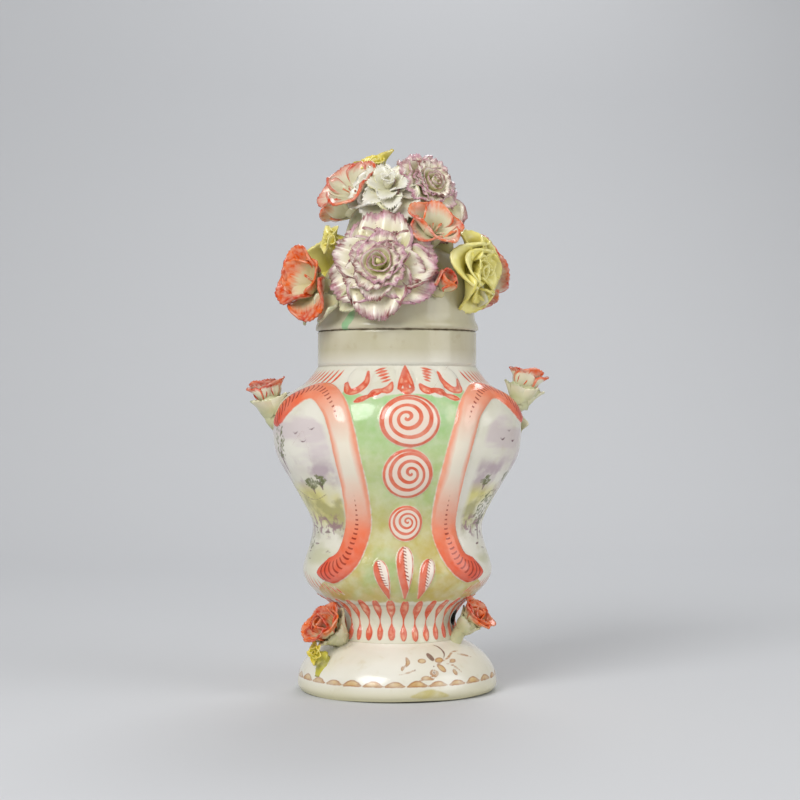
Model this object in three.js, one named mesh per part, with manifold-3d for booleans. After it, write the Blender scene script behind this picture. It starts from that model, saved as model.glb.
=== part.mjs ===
// A lidded porcelain vase of inverted-pear shape on a fluted stem and a domed foot.
// Its cover carries a heap of hand-modelled flowers and lifts straight off the neck.
// Sizes are in millimetres, +Z is up, and the origin is the centre of the ring it stands on.
// Azimuths are in degrees: 0 is the green panel at the front (-Y), 90 is the side at +X.
import * as THREE from "three";
import { mergeVertices } from "three/addons/utils/BufferGeometryUtils.js";
import Module from "manifold-3d";

const wasm = await Module();
wasm.setup();

// Sizes of the cast and thrown parts
const wall = 4.5;
const lutingGap = 0.3;
const footHeight = 26;
const footRadius = 50;
const footRingWidth = 5;
const footBevel = 1.5;
const stemHeight = 19;
const stemRootRadius = 30.5;
const stemWaistRadius = 29;
const stemTopRadius = 35.4;
const stemBoreRadius = 24.5;
const fluteCount = 32;
const fluteDepth = 1;
const ventRadius = 4.5;
const ventAzimuth = 70;
const ventRise = 10.5;
const floorThickness = 5;
const bellyRise = 14.5;
const waistRise = 19.5;
const shoulderRise = 50.5;
const neckRootRise = 31;
const bellyHalfWidth = 47;
const bellyHalfDepth = 43;
const waistHalfWidth = 41.7;
const waistHalfDepth = 40;
const shoulderHalfWidth = 61.6;
const shoulderHalfDepth = 54;
const panelSquareness = 2.3;
const neckRadius = 39.6;
const neckHeight = 17.5;
const mouthReach = 4;

// Sizes of the moulded relief on the body
const bandHalfWidth = 6.2;
const bandHeight = 1.9;
const reliefRoot = 2.2;
const bossRadii = [14.2, 11.8, 8.4];
const bossLevels = [0.773, 0.553, 0.35];
const bossHeight = 1.3;
const bossRoot = 4;
const dropFoot = 4;
const dropLength = 25;
const sideDropLength = 17.5;
const dropHalfWidth = 3.6;
const dropHeight = 1.6;
const dropFan = 13;
const leafletLength = 15;
const leafletHalfWidth = 4;
const leafletHeight = 1.5;
const leafletFan = 15;

// Sizes of the cover
const rimOverhang = 1;
const rimRise = 2.5;
const flareRise = 7;
const collarHeight = 14;
const collarRadius = 39;
const domeHeight = 35;
const moundRadius = 26;
const moundHeight = 29;
const moundSink = 6;
const flangeClearance = 0.7;
const flangeThickness = 3;
const flangeDepth = 10;
const flangeTaper = 0.8;

// Sizes of the petals
const petalWall = 1.3;
const petalEdge = 0.8;
const petalRootRadius = 2.4;
const knobRadius = 2.8;
const knobRoot = 1.5;
const stalkRadius = 3;
const rootDepth = 6;
const crownRadius = 3.8;
const flowerGap = 0.6;

// Sizes of the flowers: the reach of their petals, and how far each head stands off its seat
const frontCarnationSize = 27;
const topCarnationSize = 23;
const backCarnationSize = 26;
const whiteCarnationSize = 16;
const backWhiteCarnationSize = 18;
const roseSize = 20;
const sideAnemoneSize = 20;
const upperAnemoneSize = 18;
const rightAnemoneSize = 15;
const topNarcissusSize = 14;
const backNarcissusSize = 16;
const smallNarcissusSize = 10;
const footNarcissusSize = 7;
const budSize = 9;
const leafSize = 16;
const bractSize = 13;
const shoulderLeafSize = 10;
const shoulderFlowerSize = 12;
const leftFootFlowerSize = 12;
const rightFootFlowerSize = 10;
const nearStand = 3;
const lowStand = 4;
const middleStand = 5;
const raisedStand = 6;
const tallStand = 8;
const topStand = 10;
const shoulderStand = 5;
const rightShoulderStand = 9;
const leftFootStand = 10;
const rightFootStand = 14;

// Counts of facets
const turnSteps = 32;
const discSteps = 12;
const stalkSteps = 6;
const bodyColumns = 36;
const bodyRows = 16;
const cavityColumns = 24;
const cavityRows = 10;
const bandSteps = 14;
const dropSteps = 3;

// Detail finer than these is left out of cut pieces: the coarsest that keeps them closed
const slivers = [0.2, 0.1, 0.05, 0.02, 0.01];
const weld = 0.01;

// Levels that follow from the sizes
const stemTop = footHeight + stemHeight;
const bellyLevel = stemTop + bellyRise;
const waistLevel = bellyLevel + waistRise;
const shoulderLevel = waistLevel + shoulderRise;
const neckRoot = shoulderLevel + neckRootRise;
const neckTop = neckRoot + neckHeight;
const bodyHeight = neckRoot - stemTop;
const collarTop = neckTop + collarHeight;
const moundBase = collarTop + domeHeight - moundSink;

const glazed = (color, roughness) => new THREE.MeshStandardMaterial({ color, roughness });
const porcelain = () => glazed(0xe9e6da, 0.18);
const greenGround = () => glazed(0xdfe0c4, 0.2);
const purpleEdged = () => glazed(0xddc3cf, 0.25);
const whiteGlazed = () => glazed(0xeceadd, 0.2);
const redEdged = () => glazed(0xe3866a, 0.25);
const yellowGlazed = () => glazed(0xd9d168, 0.25);
const leafGlazed = () => glazed(0xcfd2a6, 0.25);

const radians = THREE.MathUtils.degToRad;
const mix = THREE.MathUtils.lerp;

// Closed meshes and solids

function solidOf(geometry, tolerance = 1e-4) {
  const bare = geometry.index ? geometry.toNonIndexed() : geometry.clone();
  bare.deleteAttribute("normal");
  bare.deleteAttribute("uv");
  const merged = mergeVertices(bare, tolerance);
  return new wasm.Manifold(
    new wasm.Mesh({
      numProp: 3,
      vertProperties: merged.attributes.position.array,
      triVerts: new Uint32Array(merged.index.array),
    }),
  );
}

function geometryOf(solid) {
  const mesh = solid.getMesh();
  const points = new Float32Array(mesh.numVert * 3);
  for (let i = 0; i < mesh.numVert; i += 1) {
    const start = i * mesh.numProp;
    points.set(mesh.vertProperties.subarray(start, start + 3), i * 3);
  }
  const geometry = new THREE.BufferGeometry();
  geometry.setAttribute("position", new THREE.BufferAttribute(points, 3));
  geometry.setIndex(new THREE.BufferAttribute(new Uint32Array(mesh.triVerts), 1));
  geometry.computeVertexNormals();
  return geometry;
}

function meshOf(name, solid, material) {
  const mesh = new THREE.Mesh(geometryOf(solid), material());
  mesh.name = name;
  return mesh;
}

// Joins rings of equally many points into one closed skin. The last ring meets the first
// again where the skin is a loop, and otherwise each end gets a fan over it.
function skin(rings, loop = false) {
  const count = rings[0].length;
  const points = rings.flat();
  const faces = [];
  const spans = loop ? rings.length : rings.length - 1;
  for (let i = 0; i < spans; i += 1) {
    const here = i * count;
    const there = ((i + 1) % rings.length) * count;
    for (let j = 0; j < count; j += 1) {
      const next = (j + 1) % count;
      faces.push(here + j, here + next, there + next);
      faces.push(here + j, there + next, there + j);
    }
  }
  if (!loop) {
    const centre = (ring) => {
      const sum = ring.reduce((total, p) => total.add(p), new THREE.Vector3());
      return sum.divideScalar(count);
    };
    const lastRing = (rings.length - 1) * count;
    const firstCentre = points.length;
    const lastCentre = firstCentre + 1;
    points.push(centre(rings[0]), centre(rings[rings.length - 1]));
    for (let j = 0; j < count; j += 1) {
      const next = (j + 1) % count;
      faces.push(firstCentre, next, j);
      faces.push(lastCentre, lastRing + j, lastRing + next);
    }
  }
  const geometry = new THREE.BufferGeometry();
  const flat = new Float32Array(points.flatMap((p) => [p.x, p.y, p.z]));
  geometry.setAttribute("position", new THREE.BufferAttribute(flat, 3));
  geometry.setIndex(faces);
  return solidOf(geometry);
}

// Turns an outline of [radius, height] pairs about +Z.
function turned(outline, segments = turnSteps) {
  const lathe = new THREE.LatheGeometry(
    outline.map(([radius, height]) => new THREE.Vector2(radius, height)),
    segments,
  );
  lathe.rotateX(Math.PI / 2);
  return solidOf(lathe);
}

function outwardAt(azimuth) {
  const angle = radians(azimuth);
  return new THREE.Vector3(Math.sin(angle), -Math.cos(angle), 0);
}

function directionAt(azimuth, elevation) {
  const rise = radians(elevation);
  return outwardAt(azimuth).multiplyScalar(Math.cos(rise)).setZ(Math.sin(rise));
}

// The foot: a hollow dome on a flat ring

const footOutline = (grow) => [
  [footRadius - footBevel + grow, 0],
  [footRadius + grow, footHeight * 0.14],
  [mix(stemRootRadius, footRadius, 0.91) + grow, footHeight * 0.42],
  [mix(stemRootRadius, footRadius, 0.7) + grow, footHeight * 0.65],
  [mix(stemRootRadius, footRadius, 0.38) + grow, footHeight * 0.84],
  [mix(stemRootRadius, footRadius, 0.1) + grow, footHeight * 0.95],
  [stemRootRadius + grow, footHeight],
];

function footSolid() {
  const outside = footOutline(0);
  const inside = [
    [stemBoreRadius, footHeight],
    [stemBoreRadius, footHeight - wall],
    [mix(stemBoreRadius, footRadius, 0.5), footHeight * 0.58],
    [footRadius - footBevel - footRingWidth, 0],
  ];
  return turned([...outside, ...inside, outside[0]]);
}

// The stem: a waisted tube with drop-shaped flutes that are widest at both ends

function stemRadius(share) {
  const lower = mix(stemRootRadius, stemWaistRadius, Math.min(1, share / 0.4));
  const upper = Math.max(0, (share - 0.4) / 0.6);
  return lower + (stemTopRadius - stemWaistRadius) * upper ** 2.2;
}

function stemOutside(grow) {
  const rows = [0, 0.14, 0.5, 0.86, 1];
  const columns = fluteCount * 2;
  return skin(
    rows.map((share) => {
      const flare = Math.abs(2 * share - 1);
      const ribHeight = share === 0 || share === 1 ? 0 : mix(0.3, 0.9, flare) * fluteDepth;
      return Array.from({ length: columns }, (_, i) => {
        const rib = i % 2 === 0 ? ribHeight : 0;
        const radius = stemRadius(share) - fluteDepth / 2 + rib + grow;
        const point = outwardAt((360 * i) / columns).multiplyScalar(radius);
        return point.setZ(footHeight + share * stemHeight);
      });
    }),
  );
}

function stemSolid() {
  const through = stemHeight * 1.1;
  const bore = new THREE.CylinderGeometry(stemBoreRadius, stemBoreRadius, through, turnSteps);
  bore.rotateX(Math.PI / 2).translate(0, 0, footHeight + stemHeight / 2);
  const vent = new THREE.CylinderGeometry(ventRadius, ventRadius, stemTopRadius, discSteps);
  vent.translate(0, -stemTopRadius, 0).rotateZ(radians(ventAzimuth));
  vent.translate(0, 0, footHeight + ventRise);
  return largest(stemOutside(0).subtract(solidOf(bore)).subtract(solidOf(vent)));
}

// The body: its half width and half depth follow two profiles through the same levels

function bodyProfile(belly, waist, shoulder) {
  const between = (low, high, level, share) =>
    new THREE.Vector2(mix(low.x, high.x, share), mix(low.y, high.y, level));
  const foot = new THREE.Vector2(stemTopRadius, stemTop);
  const widest = new THREE.Vector2(belly, bellyLevel);
  const narrowest = new THREE.Vector2(waist, waistLevel);
  const fullest = new THREE.Vector2(shoulder, shoulderLevel);
  const top = new THREE.Vector2(neckRadius, neckRoot);
  return new THREE.SplineCurve([
    foot,
    between(foot, widest, 0.28, 0.48),
    between(foot, widest, 0.62, 0.84),
    widest,
    between(widest, narrowest, 0.25, 0.2),
    between(widest, narrowest, 0.62, 0.68),
    narrowest,
    between(narrowest, fullest, 0.15, 0.07),
    between(narrowest, fullest, 0.45, 0.5),
    between(narrowest, fullest, 0.74, 0.9),
    fullest,
    between(fullest, top, 0.24, 0.03),
    between(fullest, top, 0.5, 0.22),
    between(fullest, top, 0.75, 0.72),
    top,
  ]);
}

const sideProfile = bodyProfile(bellyHalfWidth, waistHalfWidth, shoulderHalfWidth);
const frontProfile = bodyProfile(bellyHalfDepth, waistHalfDepth, shoulderHalfDepth);

// The wall's own point at an azimuth and a share of the way up the profile.
function bodyPoint(azimuth, along, grow = 0) {
  const side = sideProfile.getPoint(along);
  const front = frontProfile.getPoint(along);
  const angle = radians(azimuth);
  const power = mix(2, panelSquareness, Math.sin(Math.PI * along));
  const radius =
    (Math.abs(Math.cos(angle) / front.x) ** power +
      Math.abs(Math.sin(angle) / side.x) ** power) **
    (-1 / power);
  return outwardAt(azimuth).multiplyScalar(radius + grow).setZ(side.y);
}

// The profile's parameter at a share of the body's height, found by halving.
function alongAt(level) {
  const height = stemTop + level * bodyHeight;
  let low = 0;
  let high = 1;
  for (let i = 0; i < 24; i += 1) {
    const middle = (low + high) / 2;
    if (sideProfile.getPoint(middle).y < height) low = middle;
    else high = middle;
  }
  return (low + high) / 2;
}

function wallPoint(azimuth, level, grow = 0) {
  return bodyPoint(azimuth, alongAt(level), grow);
}

function wallNormal(azimuth, level) {
  const step = 0.01;
  const up = wallPoint(azimuth, level + step).sub(wallPoint(azimuth, level - step));
  const across = wallPoint(azimuth + 1, level).sub(wallPoint(azimuth - 1, level));
  return across.cross(up).normalize();
}

function bodyLoft(columns, rows, grow) {
  const rings = Array.from({ length: rows + 1 }, (_, row) =>
    Array.from({ length: columns }, (__, i) =>
      bodyPoint((360 * i) / columns, row / rows, grow),
    ),
  );
  return skin(rings);
}

// A low ridge with a rounded back along a path of [azimuth, level] on the body's wall.
// It tapers to both ends, and its underside runs inside the wall.
function ridge(path, halfWidth, height, steps, grow = 0, sharpness = 0.5) {
  const curve = new THREE.CatmullRomCurve3(
    path.map(([azimuth, level]) => new THREE.Vector3(azimuth, level * 100, 0)),
    false,
    "centripetal",
  );
  const track = curve.getSpacedPoints(steps);
  const spots = track.map((p) => ({
    at: wallPoint(p.x, p.y / 100),
    out: wallNormal(p.x, p.y / 100),
  }));
  const section = [
    [-1, -reliefRoot],
    [-0.78, 0.66],
    [0, 1],
    [0.78, 0.66],
    [1, -reliefRoot],
  ];
  return skin(
    spots.map(({ at, out }, i) => {
      const before = spots[Math.max(0, i - 1)].at;
      const after = spots[Math.min(steps, i + 1)].at;
      const across = out.clone().cross(after.clone().sub(before)).normalize();
      const taper = Math.max(0.12, Math.sin((Math.PI * i) / steps)) ** sharpness;
      return section.map(([side, lift]) => {
        const rise = lift > 0 ? lift * height * taper + grow : lift;
        const width = side * (halfWidth * taper + grow);
        return at.clone().addScaledVector(across, -width).addScaledVector(out, rise);
      });
    }),
  );
}

// One side of each picture panel's frame; the other three are its mirror images.
const bandPath = [
  [79, 0.765],
  [66, 0.857],
  [55, 0.89],
  [44, 0.872],
  [35, 0.81],
  [30.5, 0.7],
  [27.8, 0.54],
  [28.2, 0.4],
  [31.5, 0.28],
  [38, 0.18],
  [48, 0.145],
  [62, 0.127],
];

const quarters = [
  (azimuth) => azimuth,
  (azimuth) => -azimuth,
  (azimuth) => 180 - azimuth,
  (azimuth) => azimuth - 180,
];

function scrollBand(quarter, grow = 0) {
  const path = bandPath.map(([azimuth, level]) => [quarter(azimuth), level]);
  return ridge(path, bandHalfWidth, bandHeight, bandSteps, grow, 0.4);
}

// A round boss of low relief that stands square to the wall, with a raised rim and heart.
function boss(azimuth, level, radius) {
  const disc = turned(
    [
      [0, -bossRoot],
      [radius, -bossRoot],
      [radius, bossHeight * 0.3],
      [radius * 0.86, bossHeight],
      [radius * 0.5, bossHeight * 0.8],
      [0, bossHeight * 1.3],
    ],
    discSteps,
  );
  return place(disc, wallPoint(azimuth, level), wallNormal(azimuth, level));
}

function place(solid, at, axis) {
  const turn = new THREE.Quaternion().setFromUnitVectors(new THREE.Vector3(0, 0, 1), axis);
  const matrix = new THREE.Matrix4().compose(at, turn, new THREE.Vector3(1, 1, 1));
  return solid.transform(matrix.elements);
}

// Three gadroon drops rise from the foot of each green panel.
function drop(azimuth, lean, length) {
  const foot = dropFoot / bodyHeight;
  const reach = length / bodyHeight;
  const path = [0, 0.35, 0.7, 1].map((share) => [
    azimuth + lean * share,
    foot + reach * share,
  ]);
  return ridge(path, dropHalfWidth, dropHeight, dropSteps, 0, 0.8);
}

// Leaflets hang from the neck's root over the shoulder.
function leaflet(azimuth, lean) {
  const reach = leafletLength / bodyHeight;
  const path = [0, 0.5, 1].map((share) => [
    azimuth + lean * share,
    0.985 - reach * share,
  ]);
  return ridge(path, leafletHalfWidth, leafletHeight, dropSteps, 0, 0.8);
}

function panelRelief(facing) {
  const bosses = bossRadii.map((radius, i) => boss(facing, bossLevels[i], radius));
  const drops = [-1, 0, 1].map((side) =>
    drop(facing + side * dropFan, side * 5, side ? sideDropLength : dropLength),
  );
  const leaflets = [-2, -1, 0, 1, 2].map((side) =>
    leaflet(facing + side * leafletFan, side * 5),
  );
  return [...bosses, ...drops, ...leaflets];
}

function bodySolid() {
  const outside = wasm.Manifold.union([
    bodyLoft(bodyColumns, bodyRows, 0),
    ...quarters.map((quarter) => scrollBand(quarter)),
    ...panelRelief(0),
    ...panelRelief(180),
  ]);
  const floor = stemTop + floorThickness;
  const cavity = bodyLoft(cavityColumns, cavityRows, -wall);
  const bore = neckRadius - wall;
  const mouth = new THREE.CylinderGeometry(bore, bore, 2 * mouthReach, turnSteps);
  mouth.rotateX(Math.PI / 2).translate(0, 0, neckRoot);
  const slab = outside.trimByPlane([0, 0, -1], -neckRoot).trimByPlane([0, 0, 1], stemTop);
  return largest(
    slab.subtract(cavity.trimByPlane([0, 0, 1], floor)).subtract(solidOf(mouth)),
  );
}

// What the applied flowers sit on, filled in and grown by the luting gap
function carrierOfVase() {
  const stem = stemOutside(lutingGap);
  const foot = turned([[0, 0], ...footOutline(lutingGap), [0, footHeight]]);
  return wasm.Manifold.union([
    foot,
    stem,
    bodyLoft(bodyColumns, bodyRows, lutingGap),
    ...quarters.map((quarter) => scrollBand(quarter, lutingGap)),
  ]);
}

// The neck, the cover's shell, its locating ring and the mound under the upper flowers

function neckSolid() {
  const bore = neckRadius - wall;
  return turned([
    [neckRadius, neckRoot],
    [neckRadius, neckTop],
    [bore, neckTop],
    [bore, neckRoot],
    [neckRadius, neckRoot],
  ]);
}

const rimRadius = neckRadius + rimOverhang;
const flangeOuter = neckRadius - wall - flangeClearance;
const flangeInner = flangeOuter - flangeThickness;

function domeOutline(grow) {
  const latitudes = [0, 20, 40, 60, 80];
  const arc = latitudes.map((latitude) => [
    Math.cos(radians(latitude)) * collarRadius + grow,
    collarTop + Math.sin(radians(latitude)) * domeHeight + grow,
  ]);
  return [
    [rimRadius + grow, neckTop],
    [rimRadius + grow, neckTop + rimRise],
    [collarRadius + grow, neckTop + flareRise],
    ...arc,
    [0, collarTop + domeHeight + grow],
  ];
}

function coverSolid() {
  const latitudes = [76, 46, 16];
  const inside = latitudes.map((latitude) => [
    Math.cos(radians(latitude)) * (collarRadius - wall),
    collarTop + Math.sin(radians(latitude)) * (domeHeight - wall),
  ]);
  return turned([
    ...domeOutline(0),
    [0, collarTop + domeHeight - wall],
    ...inside,
    [collarRadius - wall, neckTop + flareRise],
    [flangeInner, neckTop + rimRise],
    [flangeInner, neckTop],
    [rimRadius, neckTop],
  ]);
}

function flangeSolid() {
  return turned([
    [flangeInner, neckTop],
    [flangeInner, neckTop - flangeDepth],
    [flangeOuter - flangeTaper, neckTop - flangeDepth],
    [flangeOuter, neckTop],
    [flangeInner, neckTop],
  ]);
}

function moundPoint(azimuth, latitude, grow = 0) {
  const rise = radians(latitude);
  const lobes = 1 + 0.09 * Math.cos(radians(azimuth) * 5) * Math.cos(rise);
  const radius = (moundRadius + grow) * Math.cos(rise) * lobes;
  const height = moundBase + (moundHeight + grow) * Math.sin(rise);
  return outwardAt(azimuth).multiplyScalar(radius).setZ(height);
}

function moundRaw(grow) {
  const latitudes = [0, 22, 44, 62, 78, 88];
  const rings = latitudes.map((latitude) =>
    Array.from({ length: 20 }, (_, i) => moundPoint(i * 18, latitude, grow)),
  );
  const skirt = rings[0].map((p) => p.clone().setZ(moundBase - moundSink));
  return skin([skirt, ...rings]);
}

const domeFilled = (grow) => turned([[0, neckTop], ...domeOutline(grow)]);

// Petals and flowers: a flower's own frame has its axis along +Z and its petals' roots at 0

const plainPetal = {
  rootRadius: petalRootRadius,
  lift: 0,
  round: 0.3,
  point: 0,
  tooth: 0,
  dip: 0,
  ruffle: 0,
  waves: 1,
  columns: 4,
  rows: 2,
};

// A point of a petal's curved blade, which starts at the root angle and bends to the tip angle
function bladePoint(petal, reach, inward) {
  const start = radians(petal.rootAngle);
  const bend = radians(petal.tipAngle) - start || 0.001;
  const slope = start + bend * reach;
  const out = (petal.length * (Math.sin(slope) - Math.sin(start))) / bend;
  const up = (petal.length * (Math.cos(start) - Math.cos(slope))) / bend;
  return new THREE.Vector2(
    petal.rootRadius + out - Math.sin(slope) * inward,
    petal.lift + up + Math.cos(slope) * inward,
  );
}

// Upper points from root to tip, then lower points back to the root
function bladeSection(rows, pointAt) {
  const steps = Array.from({ length: rows + 1 }, (_, j) => j / rows);
  const upper = steps.map((v) => pointAt(v, petalThickness(v) / 2));
  const lower = steps.map((v) => pointAt(v, -petalThickness(v) / 2)).reverse();
  return [...upper, ...lower];
}

function petalThickness(v) {
  return mix(petalWall, petalEdge, v);
}

// A whorl of petals joined at their roots. Across each petal u runs from -1 to 1, where the
// outline draws in; its sides dip below or stand above its middle, and its edge is ruffled.
function whorl(count, spin, shape) {
  const petal = { ...plainPetal, ...shape };
  const total = count * petal.columns;
  const rings = Array.from({ length: total }, (_, i) => {
    const u = (2 * (i % petal.columns)) / petal.columns - 1;
    const turn = (2 * Math.PI * i) / total;
    const trim = petal.round * u * u + petal.point * Math.abs(u);
    const toothed = i % 2 === 1 ? petal.tooth : 0;
    return bladeSection(petal.rows, (v, offset) => {
      const reach = v * (1 - trim) * (v === 1 ? 1 - toothed : 1);
      const wave = Math.sin(turn * petal.waves) * petal.ruffle * v * v;
      const dip = (u * u - 0.5) * petal.dip * v;
      const blade = bladePoint(petal, reach, wave + dip + offset);
      return new THREE.Vector3(
        blade.x * Math.cos(turn),
        blade.x * Math.sin(turn),
        blade.y,
      );
    });
  });
  return skin(rings, true).rotate([0, 0, spin]);
}

// The knob that closes the middle of a head or a heart
function knob(radius, top) {
  const height = top + knobRoot;
  const cone = new THREE.CylinderGeometry(radius * 0.7, radius, height, stalkSteps);
  cone.rotateX(Math.PI / 2).translate(0, 0, height / 2 - knobRoot);
  return solidOf(cone);
}

// A carnation: ruffled and toothed frills that close towards the heart
function carnation(size) {
  const edge = { tooth: 0.1, round: 0.16, ruffle: size * 0.07, dip: size * 0.16 };
  return {
    crown: size * 0.2,
    outer: [
      knob(crownRadius, size * 0.2),
      whorl(6, 0, { ...edge, length: size * 0.9, rootAngle: 14, tipAngle: -14, waves: 9 }),
      whorl(5, 20, { ...edge, length: size * 0.76, rootAngle: 62, tipAngle: 24, waves: 7 }),
    ],
    heart: [
      knob(knobRadius, size * 0.24),
      whorl(3, 10, {
        ...edge,
        lift: size * 0.2,
        length: size * 0.42,
        rootAngle: 80,
        tipAngle: 44,
        waves: 4,
        dip: size * 0.05,
      }),
    ],
  };
}

// A small carnation, whose heart is modelled in one with its frills
function smallCarnation(size) {
  const edge = { tooth: 0.14, round: 0.16, ruffle: size * 0.06, dip: size * 0.12 };
  return {
    crown: size * 0.3,
    outer: [
      knob(crownRadius, size * 0.3),
      whorl(5, 0, { ...edge, length: size * 0.92, rootAngle: 20, tipAngle: -4, waves: 7 }),
      whorl(4, 20, { ...edge, length: size * 0.76, rootAngle: 68, tipAngle: 34, waves: 5 }),
    ],
  };
}

// A rose: smooth petals that cup round a closed heart
function rose(size) {
  const smooth = { round: 0.22, waves: 3, ruffle: size * 0.03, dip: size * 0.1 };
  return {
    crown: size * 0.2,
    outer: [
      knob(crownRadius, size * 0.2),
      whorl(5, 0, { ...smooth, length: size, rootAngle: 38, tipAngle: 8 }),
      whorl(4, 40, { ...smooth, length: size * 0.84, rootAngle: 70, tipAngle: 34 }),
    ],
    heart: [
      knob(knobRadius, size * 0.3),
      whorl(3, 15, {
        ...smooth,
        lift: size * 0.2,
        length: size * 0.46,
        rootAngle: 92,
        tipAngle: 66,
      }),
    ],
  };
}

// An anemone: a few broad cupped petals round a knob of stamens
function anemone(size) {
  return {
    crown: size * 0.3,
    outer: [
      knob(crownRadius, size * 0.3),
      whorl(5, 18, {
        length: size,
        rootAngle: 10,
        tipAngle: 72,
        round: 0.42,
        dip: size * 0.22,
      }),
    ],
  };
}

// A narcissus: six pointed petals round a short cup
function narcissus(size) {
  return {
    crown: size * 0.35,
    outer: [
      knob(crownRadius, size * 0.35),
      whorl(6, 0, {
        length: size,
        rootAngle: 24,
        tipAngle: 54,
        round: 0,
        point: 0.6,
        dip: size * 0.2,
        columns: 2,
      }),
    ],
  };
}

// A bud: three petals closed over each other
function bud(size) {
  return {
    crown: size * 0.6,
    outer: [
      knob(crownRadius, size * 0.6),
      whorl(3, 0, { length: size * 1.2, rootAngle: 40, tipAngle: 122, round: 0.25 }),
    ],
  };
}

// A leaf or bract: a pointed blade with a keel, stuck on by its root
function leaf(size) {
  const blade = { ...plainPetal, rootRadius: 0, length: size, rootAngle: 0, tipAngle: 34 };
  const stations = [-0.3, 0, 0.4, 0.75, 1];
  const halfWidths = [0.12, 0.24, 0.3, 0.2, 0.03];
  const rings = stations.map((v, i) => {
    const half = size * halfWidths[i];
    const top = bladePoint(blade, v, petalWall / 2);
    const edge = bladePoint(blade, v, half * 0.35);
    const under = bladePoint(blade, v, -petalWall / 2);
    return [
      new THREE.Vector3(top.x, 0, top.y),
      new THREE.Vector3(edge.x, -half, edge.y),
      new THREE.Vector3(under.x, 0, under.y),
      new THREE.Vector3(edge.x, half, edge.y),
    ];
  });
  return { crown: 0, outer: [skin(rings)] };
}

// A pale cone that opens upwards, with a frilled head that stands in its socket
function calyxFlower(size) {
  const edge = {
    rootRadius: size * 0.1,
    lift: -size * 0.3,
    tooth: 0.14,
    round: 0.14,
    ruffle: size * 0.06,
  };
  return {
    crown: -size * 0.9,
    heart: [
      knob(size * 0.2, size * 0.4).translate([0, 0, -size * 0.3]),
      whorl(5, 0, { ...edge, length: size * 1.25, rootAngle: 74, tipAngle: 34, waves: 7 }),
    ],
    outer: [calyxCone(size, 0)],
  };
}

function calyxCone(size, grow) {
  return turned(
    [
      [0, -size * 1.5 - grow],
      [size * 0.3 + grow, -size * 1.45],
      [size * 0.36 + grow, -size * 0.9],
      [size * 0.66 + grow, grow],
      [size * 0.56 - grow, size * 0.06 + grow],
      [size * 0.2 - grow, -size * 0.5 + grow],
      [0, -size * 0.55 + grow],
    ],
    discSteps,
  );
}

// The bowl, in a flower's own frame, that divides a full flower's heart from its petals
function heartBowl(size, grow) {
  const floor = size * 0.16;
  return turned(
    [
      [0, floor - grow],
      [size * 0.16 + grow, floor - grow],
      [size * 0.28 + grow, size * 0.36],
      [size * 0.46 + grow, size * 0.85],
      [0, size * 0.85],
    ],
    discSteps,
  );
}

// True where each edge of a solid lies between exactly two faces
function edgesPairUp(solid) {
  const mesh = solid.getMesh();
  const labels = Array.from({ length: mesh.numVert }, (_, i) =>
    [0, 1, 2].map((axis) => mesh.vertProperties[i * mesh.numProp + axis].toFixed(3)).join(),
  );
  const uses = new Map();
  for (let i = 0; i < mesh.triVerts.length; i += 1) {
    const next = i % 3 === 2 ? i - 2 : i + 1;
    const ends = [labels[mesh.triVerts[i]], labels[mesh.triVerts[next]]];
    const edge = ends.sort().join(" ");
    uses.set(edge, (uses.get(edge) ?? 0) + 1);
  }
  return [...uses.values()].every((count) => count === 2);
}

// The main piece of a solid, without crumbs and slivers finer than the model's detail
function largest(solid) {
  const welded = solidOf(geometryOf(solid), weld);
  const mains = slivers.map((sliver) => () => {
    const pieces = welded.simplify(sliver).decompose();
    return pieces.reduce((best, piece) => (piece.volume() > best.volume() ? piece : best));
  });
  const closed = mains.find((main) => edgesPairUp(main()));
  return (closed ?? mains[0])();
}

// The hull round a head, grown by the gap that is kept between two flowers
function hullWithGap(solid) {
  const hull = solid.hull();
  const { min, max } = hull.boundingBox();
  const centre = min.map((low, axis) => (low + max[axis]) / 2);
  const growth = min.map((low, axis) => 1 + (2 * flowerGap) / (max[axis] - low));
  return hull
    .translate(centre.map((value) => -value))
    .scale(growth)
    .translate(centre);
}

// A round stalk between two points, a little thicker at its far end
function stalkBetween(from, to) {
  const reach = from.distanceTo(to);
  const stalk = new THREE.CylinderGeometry(stalkRadius * 1.4, stalkRadius, reach, stalkSteps);
  stalk.rotateX(Math.PI / 2).translate(0, 0, reach / 2);
  return place(solidOf(stalk), from, to.clone().sub(from).normalize());
}

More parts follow.
